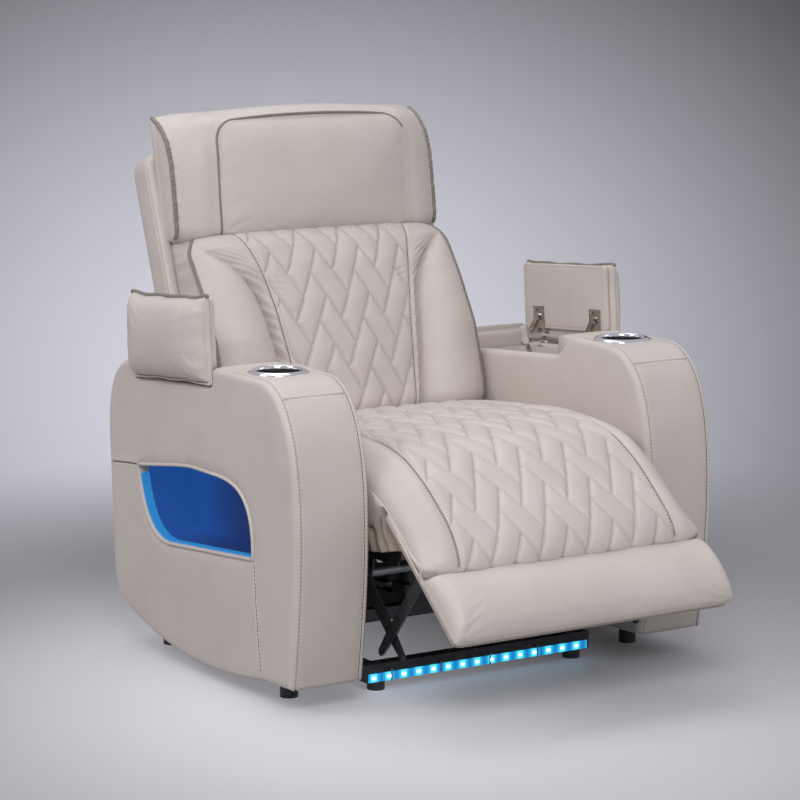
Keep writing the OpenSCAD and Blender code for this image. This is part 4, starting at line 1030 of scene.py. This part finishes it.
head_obj = head.obj("headrest_cover", LEATHER, "headrest", "leather", ["headrest_pad"], weld=2e-4)
straight, corner = panel_edge(0.17, 16)
sewn = np.array(straight + corner + [(x, corner[-1][1]) for x in np.linspace(PANEL - HEAD_R, 0, 50)]
                + [(HD_HALF, v) for v in np.linspace(0, 1, 120)])
sewn_at = on_head(np.vstack([sewn, sewn * [-1, 1]]))


def head_held(q):
    far = np.linalg.norm(q[:, None] - sewn_at[None], axis=2).min(1)
    return (far < 0.0080) | (HEAD.sn(q)[1] < -0.062)


back_wrap = wrapped_board(rect(-0.2925, 0.2925, 0.0290, 0.2500, 0.022),
                          [(-0.0785, 0.004), (-0.0795, 0.0), (-0.0880, 0.0), (-0.0905, 0.0030), (-0.0912, 0.010)],
                          lambda p, h: HEAD.at(*p.T, h))
back_wrap.obj("headrest_back_wrap", LEATHER, "headrest", "leather", ["headrest_board"])
fill_out(head_obj, head_held, cap=0.0055, finer=False)
p = head_surface(np.full(120, HD_HALF), np.linspace(0.16, 0.975, 120))
piping("headrest_side_piping", [HEAD.at(sign * (HD_HALF + 0.0022), p[:, 0], p[:, 1] + 0.0008) for _, sign in SIDES],
       "headrest", r=0.0045)
straight, corner = panel_edge(0.19, 14)
top = [(x, corner[-1][1]) for x in np.linspace(HEAD_R - PANEL, PANEL - HEAD_R, 40)[1:-1]]
piping("headrest_panel_piping", [on_head([(-x, v) for x, v in straight + corner] + top + corner[::-1][:-3], 0.0022)],
       "headrest", r=0.0030)
piping("headrest_panel_welt", [on_head(straight + corner[:6], -0.0004)], "headrest", r=0.0019)


# ---------------------------------------------------------------- lids
def lid_world(p, sign=1):
    """Points of the closed lid's own frame, turned open, in the chair's frame."""
    x, y, z = p[..., 0], p[..., 1], p[..., 2]
    up = LID_AXIS_Z - (x - LID_AXIS_X)
    return np.stack([sign * (LID_AXIS_X + (z - LID_AXIS_Z)), y * cos(SLOPE) + up * sin(SLOPE),
                     LID_SEAT - y * sin(SLOPE) + up * cos(SLOPE)], -1)


def pillow(x0, x1, y0, y1, z0, z1, crown, n=64, flip=1):
    """A boxed cushion: crowned face at z1, sides pulled in between the corners, flat at z0."""
    u = np.linspace(-1, 1, n + 1)
    u = np.sin(u * pi / 2) * 0.55 + u * 0.45
    U, V = np.meshgrid(u, u, indexing="ij")
    xc, yc, hx, hy = (x0 + x1) / 2, (y0 + y1) / 2, (x1 - x0) / 2, (y1 - y0) / 2
    X = xc + U * (hx - 0.0050 * (1 - V**4) * np.abs(U)**3)
    Y = yc + V * (hy - 0.0020 * (1 - U**4) * np.abs(V)**3)
    to_x, to_y = hx * (1 - np.abs(U)), hy * (1 - np.abs(V))
    edge = np.minimum(to_x, to_y)
    swell = (1 - np.abs(U)**4.6)**0.5 * (1 - np.abs(V)**8)**0.5
    along = np.where(to_x < to_y, Y, X)
    Z = z1 + crown * swell + 0.0013 * np.exp(-edge / 0.016) * (edge > 1e-6) * np.sin(
        along * TAU / 0.027 + 3.1 * np.sin(along * 31 * flip))
    Z = Z + 0.0009 * np.sin(X * 37 + Y * 11 * flip + 1) * swell
    X = X + 0.0010 * np.sin(Y * 62 + 2 * flip) * np.abs(U)**6
    Y = Y + 0.0010 * np.sin(X * 71 + flip) * np.abs(V)**6
    top = np.stack([X, Y, Z], -1)
    rim, = rim_of(top)
    run, d = lengths(rim), rim[:, :2] - [xc, yc]
    rows = []
    for t in np.linspace(0, 1, 10):
        bulge = 0.0015 * sin(pi * t)**0.7 - 0.002 * t \
            + 0.0007 * np.sin(run * TAU / 0.017 + 2 * np.sin(run * 25)) * sin(pi * t)
        rows.append(np.column_stack([rim[:, :2] + d * (bulge / np.abs(d).max(1))[:, None],
                                     rim[:, 2] * (1 - t) + z0 * t]))
    return Shape().grid(top).rings(rows).fan(rows[-1]), rim


def circle(n):
    a = np.linspace(0, TAU, n, endpoint=False)
    return np.column_stack([np.cos(a), np.sin(a)])


def plate(points, x0, x1):
    """A flat plate: its outline in (Y, Z), between two x."""
    v, f = fill(points, step=1.0)
    return Shape().rings([at_x(x, points) for x in (x0, x1)]).add(at_x(x0, v), f).add(at_x(x1, v), f)


def bar_outline(a, b, ra, rb):
    """A bar with round ends."""
    d = atan2(*(b - a)[::-1]) + np.linspace(-pi / 2, pi / 2, 10)
    way = np.column_stack([np.cos(d), np.sin(d)])
    return np.vstack([b + rb * way, a - ra * way])


def rim_side(rim, axis, edge):
    """The points of a rim along one of its sides, in order."""
    p = rim[np.abs(rim[:, axis] - edge(rim[:, axis])) < 0.006]
    return p[np.argsort(p[:, 1 - axis])]


def wavy(q, high, rate):
    return q + [0, 0, 1] * (high * np.sin(q[:, 1:2] * rate))


# folding levers, off the foot of their hinge: bars (end, end, radii, x, thickness), rivets' x and height,
# and rivets (place, radius)
LEVERS = (("upper", [((0.006, 0.060), (0.0300, 0.0240), 0.0065, 0.0058, 0.4532, 0.0050),
                     ((0.000, 0.052), (0.014, 0.070), 0.0045, 0.0045, 0.4565, 0.0020)],
           0.4532, 0.0018, [((0.006, 0.060), 0.0038), ((0.0300, 0.0240), 0.0042), ((0.000, 0.052), 0.0026),
                            ((0.014, 0.070), 0.0026)]),
          ("lower", [((0.0350, -0.0118), (0.012, -0.042), 0.0062, 0.0070, 0.4495, 0.0018),
                     ((0.006, -0.038), (0.022, -0.052), 0.0050, 0.0050, 0.4478, 0.0018),
                     ((0.0385, -0.0120), (0.0385, 0.0008), 0.0050, 0.0050, 0.4585, 0.0018)],
           0.4478, 0.0016, [((0.0350, -0.0118), 0.0036), ((0.012, -0.042), 0.0038)]))

for side, sign in SIDES:
    body = f"lid_{side}"
    s, rim = pillow(0.3160, 0.4855, 0.0025, 0.3185, 0.0095, 0.0165, 0.0400, flip=sign)
    s.v = [lid_world(v, sign) for v in s.v]
    o = s.obj(f"lid_{side}_cushion_cover", LEATHER, body, "leather", [f"lid_{side}_cushion"])
    sewn = lid_world(rim, sign)[::2]
    board_x = abs(lid_world(np.array([0.4, 0.15, 0.0115]), sign)[0])

    def lid_held(q):
        far = np.linalg.norm(q[:, None] - sewn[None], axis=2).min(1)
        return (np.abs(q[:, 0]) < board_x) | (far < 0.0042)

    fill_out(o, lid_held, voxel=0.004, shrink=0.0022, cap=0.0040)
    # piping: one thick wavy run on the free long edge, a double one on the hinge edge
    free, hinged = (rim_side(rim, 0, edge) for edge in (np.min, np.max))
    ends = [rim_side(rim, 1, edge) for edge in (np.min, np.max)]
    piping(f"lid_{side}_piping", [lid_world(wavy(free, 0.0012, 60) + [-0.0012, 0, 0.0012], sign),
                                  lid_world(wavy(hinged, 0.0010, 47) + [0.0016, 0, -0.0030], sign)], body, r=0.0034)
    piping(f"lid_{side}_welt", [lid_world(wavy(hinged, 0.0012, 47) + [0.0006, 0, 0.0048], sign)]
           + [lid_world(e + [0, 0, 0.0006], sign) for e in ends], body, r=0.0022, mat=LEATHER)
    # the board under it, wrapped in leather
    lining = wrapped_board(rect(0.3190, 0.4578, 0.0110, 0.3110, 0.011, 0.006),
                           [(0.0096, 0.001), (0.0050, 0.0), (0.0012, 0.0), (-0.0002, 0.0012), (-0.0006, 0.0030),
                            (0.0006, 0.0042), (-0.0004, 0.0056), (-0.0007, 0.010)],
                           lambda p, h: lid_world(np.column_stack([p, np.full(len(p), h)]), sign))
    lining.obj(f"lid_{side}_lining", LEATHER, body, "leather", [f"lid_{side}_board"])
    hem = rect(0.3232, 0.4536, 0.0152, 0.3068, 0.009, 0.006)
    hem = np.column_stack([hem, np.full(len(hem), -0.0008)])
    stitch(body, lid_world(np.vstack([hem, hem[:1]]), sign), length=0.0038)
    for half, bars, x, height, rivets in LEVERS:
        s = Shape()
        for foot in (lid_yz(0.0512, 0), lid_yz(0.256, 0)):
            for a, b, ra, rb, x0, thick in bars:
                s.merge(plate(bar_outline(foot + a, foot + b, ra, rb), x0, x0 + thick))
            for p, r in rivets:
                s.rings([at_x(x - height * up, foot + p + r * k * circle(16))
                         for up, k in ((-0.6, 1), (0, 1), (0.55, 0.9), (0.85, 0.6), (1.0, 0.05))])
        if half == "lower":
            # the rod between the two hinges
            tube(s, [[0.4650, *lid_yz(y, 0.0035)] for y in np.linspace(0.074, 0.234, 8)], 0.0042, sides=12)
        rides = body if half == "upper" else "chair"
        s.on(sign).obj(f"lid_{side}_levers_{half}", HINGE, rides, "hinge_metal", flat=True)

# ---------------------------------------------------------------- cup rims
CUP_RIM = [(0.0451, -0.0020), (0.0452, 0.0015), (0.0457, 0.0042), (0.0470, 0.0060), (0.0490, 0.0066), (0.0510, 0.0060),
           (0.0560, 0.0036), (0.0578, 0.0022), (0.0584, 0.0006), (0.0578, -0.0008), (0.0500, -0.0012)]
CUP_WELL = [(0.0005, -0.0735), (0.0150, -0.0735), (0.0160, -0.0728), (0.0300, -0.0728), (0.0310, -0.0735),
            (0.0395, -0.0735), (0.0430, -0.0722), (0.0445, -0.0690), (0.0450, -0.0300), (0.0447, -0.0285),
            (0.0450, -0.0270), (0.0450, -0.0018)]
for side, sign in SIDES:
    for part, profile, mat, slot, gone in (("rim", CUP_RIM, CHROME, "chrome", [f"cup_holder_{side}"]),
                                           ("well", CUP_WELL, WELL, "black_plastic", [])):
        rows = [np.column_stack([[sign * CUP_X, CUP_Y] + r * circle(96), np.full(96, ARM_TOP + z)]) for r, z in profile]
        Shape().rings(rows).obj(f"cup_{side}_{part}", mat, "chair", slot, gone)

# ---------------------------------------------------------------- front light strip
spots, clips = Shape(), Shape()
ex, ez = (np.sign(circle(24)) * np.abs(circle(24))**0.6).T
for k in range(15):
    x = SPOT_X + SPOT_PITCH * k
    spots.rings([np.column_stack([x + 0.0048 * q * ex, np.full(24, -0.2080 - d), 0.0262 + 0.0034 * q * ez])
                 for q, d in ((1, -0.0006), (1, 0.0008), (0.85, 0.0016), (0.5, 0.0020), (0.02, 0.0021))])
for x in (-0.205, -0.092, 0.022, 0.135):
    q = plate(np.array([(x - 0.0014, 0.0165), (x + 0.0014, 0.0165), (x + 0.0014, 0.0400), (x - 0.0014, 0.0400)]),
              -0.2095, -0.2085)
    clips.add(np.vstack(q.v)[:, [1, 0, 2]], q.f)
spots.obj("light_spots", SPOT, "chair", "white_light")
clips.obj("light_clips", ZINC, "chair", "zinc", flat=True)

# the seams' dark tubes are painted shade in their grooves
for kind, mat, sewn in (("stitches", THREAD, SEWN), ("seams", SEAM_SHADE, SEAMS)):
    for body, shape in sewn.items():
        o = shape.obj(f"{body}_{kind}", mat, None if body == "chaise" else body, "thread", weld=0.0)
        if body == "chaise":
            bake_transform(o)


# ---------------------------------------------------------------- stage
def radial(nt, c, centre, scale, start=0.0):
    """One around the centre, falling smoothly from start to nothing, a scale away."""
    away = node(nt, "VectorMath", {0: c, 1: centre}, operation="SUBTRACT")
    sized = node(nt, "VectorMath", {0: away, 1: scale}, operation="DIVIDE")
    far = node(nt, "VectorMath", {0: sized}, "Value", operation="LENGTH")
    return mapped(nt, far, (1, 0), (start, 1), smoothly=True)


def seen_ray(nt):
    """One for rays that show the backdrop: straight to the camera, or by way of metal or glass."""
    seen = node(nt, "LightPath", out="Is Camera Ray")
    for ray in ("Is Glossy Ray", "Is Transmission Ray"):
        seen = node(nt, "Math", {0: seen, 1: node(nt, "LightPath", out=ray)}, operation="MAXIMUM")
    return seen


def mixed(nt, fac, a, b):
    a, b = (v if isinstance(v, bpy.types.NodeSocket) else (*v, 1) for v in (a, b))
    return node(nt, "MixRGB", {"Fac": fac, "Color1": a, "Color2": b}, "Color")


def placed(name, data, at=(0, 0, 0), aim=None):
    o = bpy.data.objects.new(name, data)
    bpy.context.scene.collection.objects.link(o)
    o.location = at
    if aim:
        o.rotation_euler = (Vector(aim) - Vector(at)).to_track_quat("-Z", "Y").to_euler()
    return o


FLOOR, nt, bsdf, c = new_mat("stage_floor")
seen = seen_ray(nt)
# painted light and shade: the floor seen by the camera is pale near the chair and darker further out, a painted pool of
# light; lift adds a painted glow under and left of the chair that thins the shadows there and is gone at the right
painted_light_pool = mixed(nt, radial(nt, c, (-0.19, -0.42, 0), (1.50, 1.50, 1)), (0.33, 0.325, 0.350), (0.77, 0.755, 0.80))
lift = mixed(nt, radial(nt, c, (-0.30, 0.05, 0), (0.85, 1.1, 1)), (0, 0, 0), (0.23, 0.228, 0.245))
plug(nt, bsdf, {"Base Color": mixed(nt, seen, (0.34, 0.33, 0.33), painted_light_pool), "Emission Color": lift,
                "Emission Strength": seen, "Roughness": 0.45, "Specular IOR Level": 0.25})
# far from the chair the floor fades into the wall
edge = mapped(nt, node(nt, "VectorMath", {0: c}, "Value", operation="LENGTH"), (0, 1), (1.05, 2.3), smoothly=True)
gone = node(nt, "Math", {0: edge, 1: seen}, operation="MULTIPLY")
mix = node(nt, "MixShader", {0: gone, 1: bsdf.outputs[0], 2: node(nt, "BsdfTransparent")})
plug(nt, nt.nodes["Material Output"], {"Surface": mix})
me = bpy.data.meshes.new("floor")
me.from_pydata([(-9, -9, 0), (9, -9, 0), (9, 9, 0), (-9, 9, 0)], [], [(0, 1, 2, 3)])
me.materials.append(FLOOR)
placed("floor", me)

world = bpy.data.worlds.new("studio")
bpy.context.scene.world = world
world.use_nodes = True
nt = world.node_tree
c = node(nt, "TexCoord", out="Generated")
up = mapped(nt, node(nt, "SeparateXYZ", {0: c}, "Z"), (0, 1), (-0.1, 1.0), smoothly=True)
light = mixed(nt, up, (0.24, 0.24, 0.25), (0.60, 0.60, 0.61))
# painted light and shade: seen straight on, the backdrop has a painted pool of light behind the chair that darkens
# toward the edges of the view
ahead = (0.490, 0.857, -0.160)
wall = mixed(nt, radial(nt, c, ahead, (0.30, 0.30, 0.225)), (0.040, 0.040, 0.046), (0.680, 0.674, 0.755))
# turned away from the picture's own view, the wall is an even pale grey
wall = mixed(nt, radial(nt, c, ahead, (0.58, 0.58, 0.58), start=0.62), (0.50, 0.495, 0.545), wall)
plug(nt, nt.nodes["Background"], {"Color": mixed(nt, seen_ray(nt), light, wall), "Strength": 1.0})

for name, at, aim, size, power in (("key", (-1.9, -3.3, 2.7), (0, 0.1, 0.75), (1.6, 1.3), 62),
                                   ("side", (-2.7, 0.1, 2.3), (0, 0.1, 0.8), (1.2, 1.2), 17.5),
                                   ("fill", (3.2, -2.4, 1.9), (0, 0, 0.5), (2.0, 2.0), 8),
                                   ("top", (0.0, 0.9, 3.2), (0, 0, 0.4), (1.8, 1.8), 16)):
    lamp = bpy.data.lights.new(name, "AREA")
    lamp.shape, lamp.size, lamp.size_y, lamp.energy = "RECTANGLE", *size, power
    placed(name, lamp, at, aim)

cam = bpy.data.cameras.new("camera")
cam.lens, cam.sensor_width = 131.12, 36
bpy.context.scene.camera = placed("camera", cam, (-3.0757, -4.8286, 1.4826), (0.0614, 0.1879, 0.4832))
bpy.context.scene.view_settings.view_transform = "Standard"
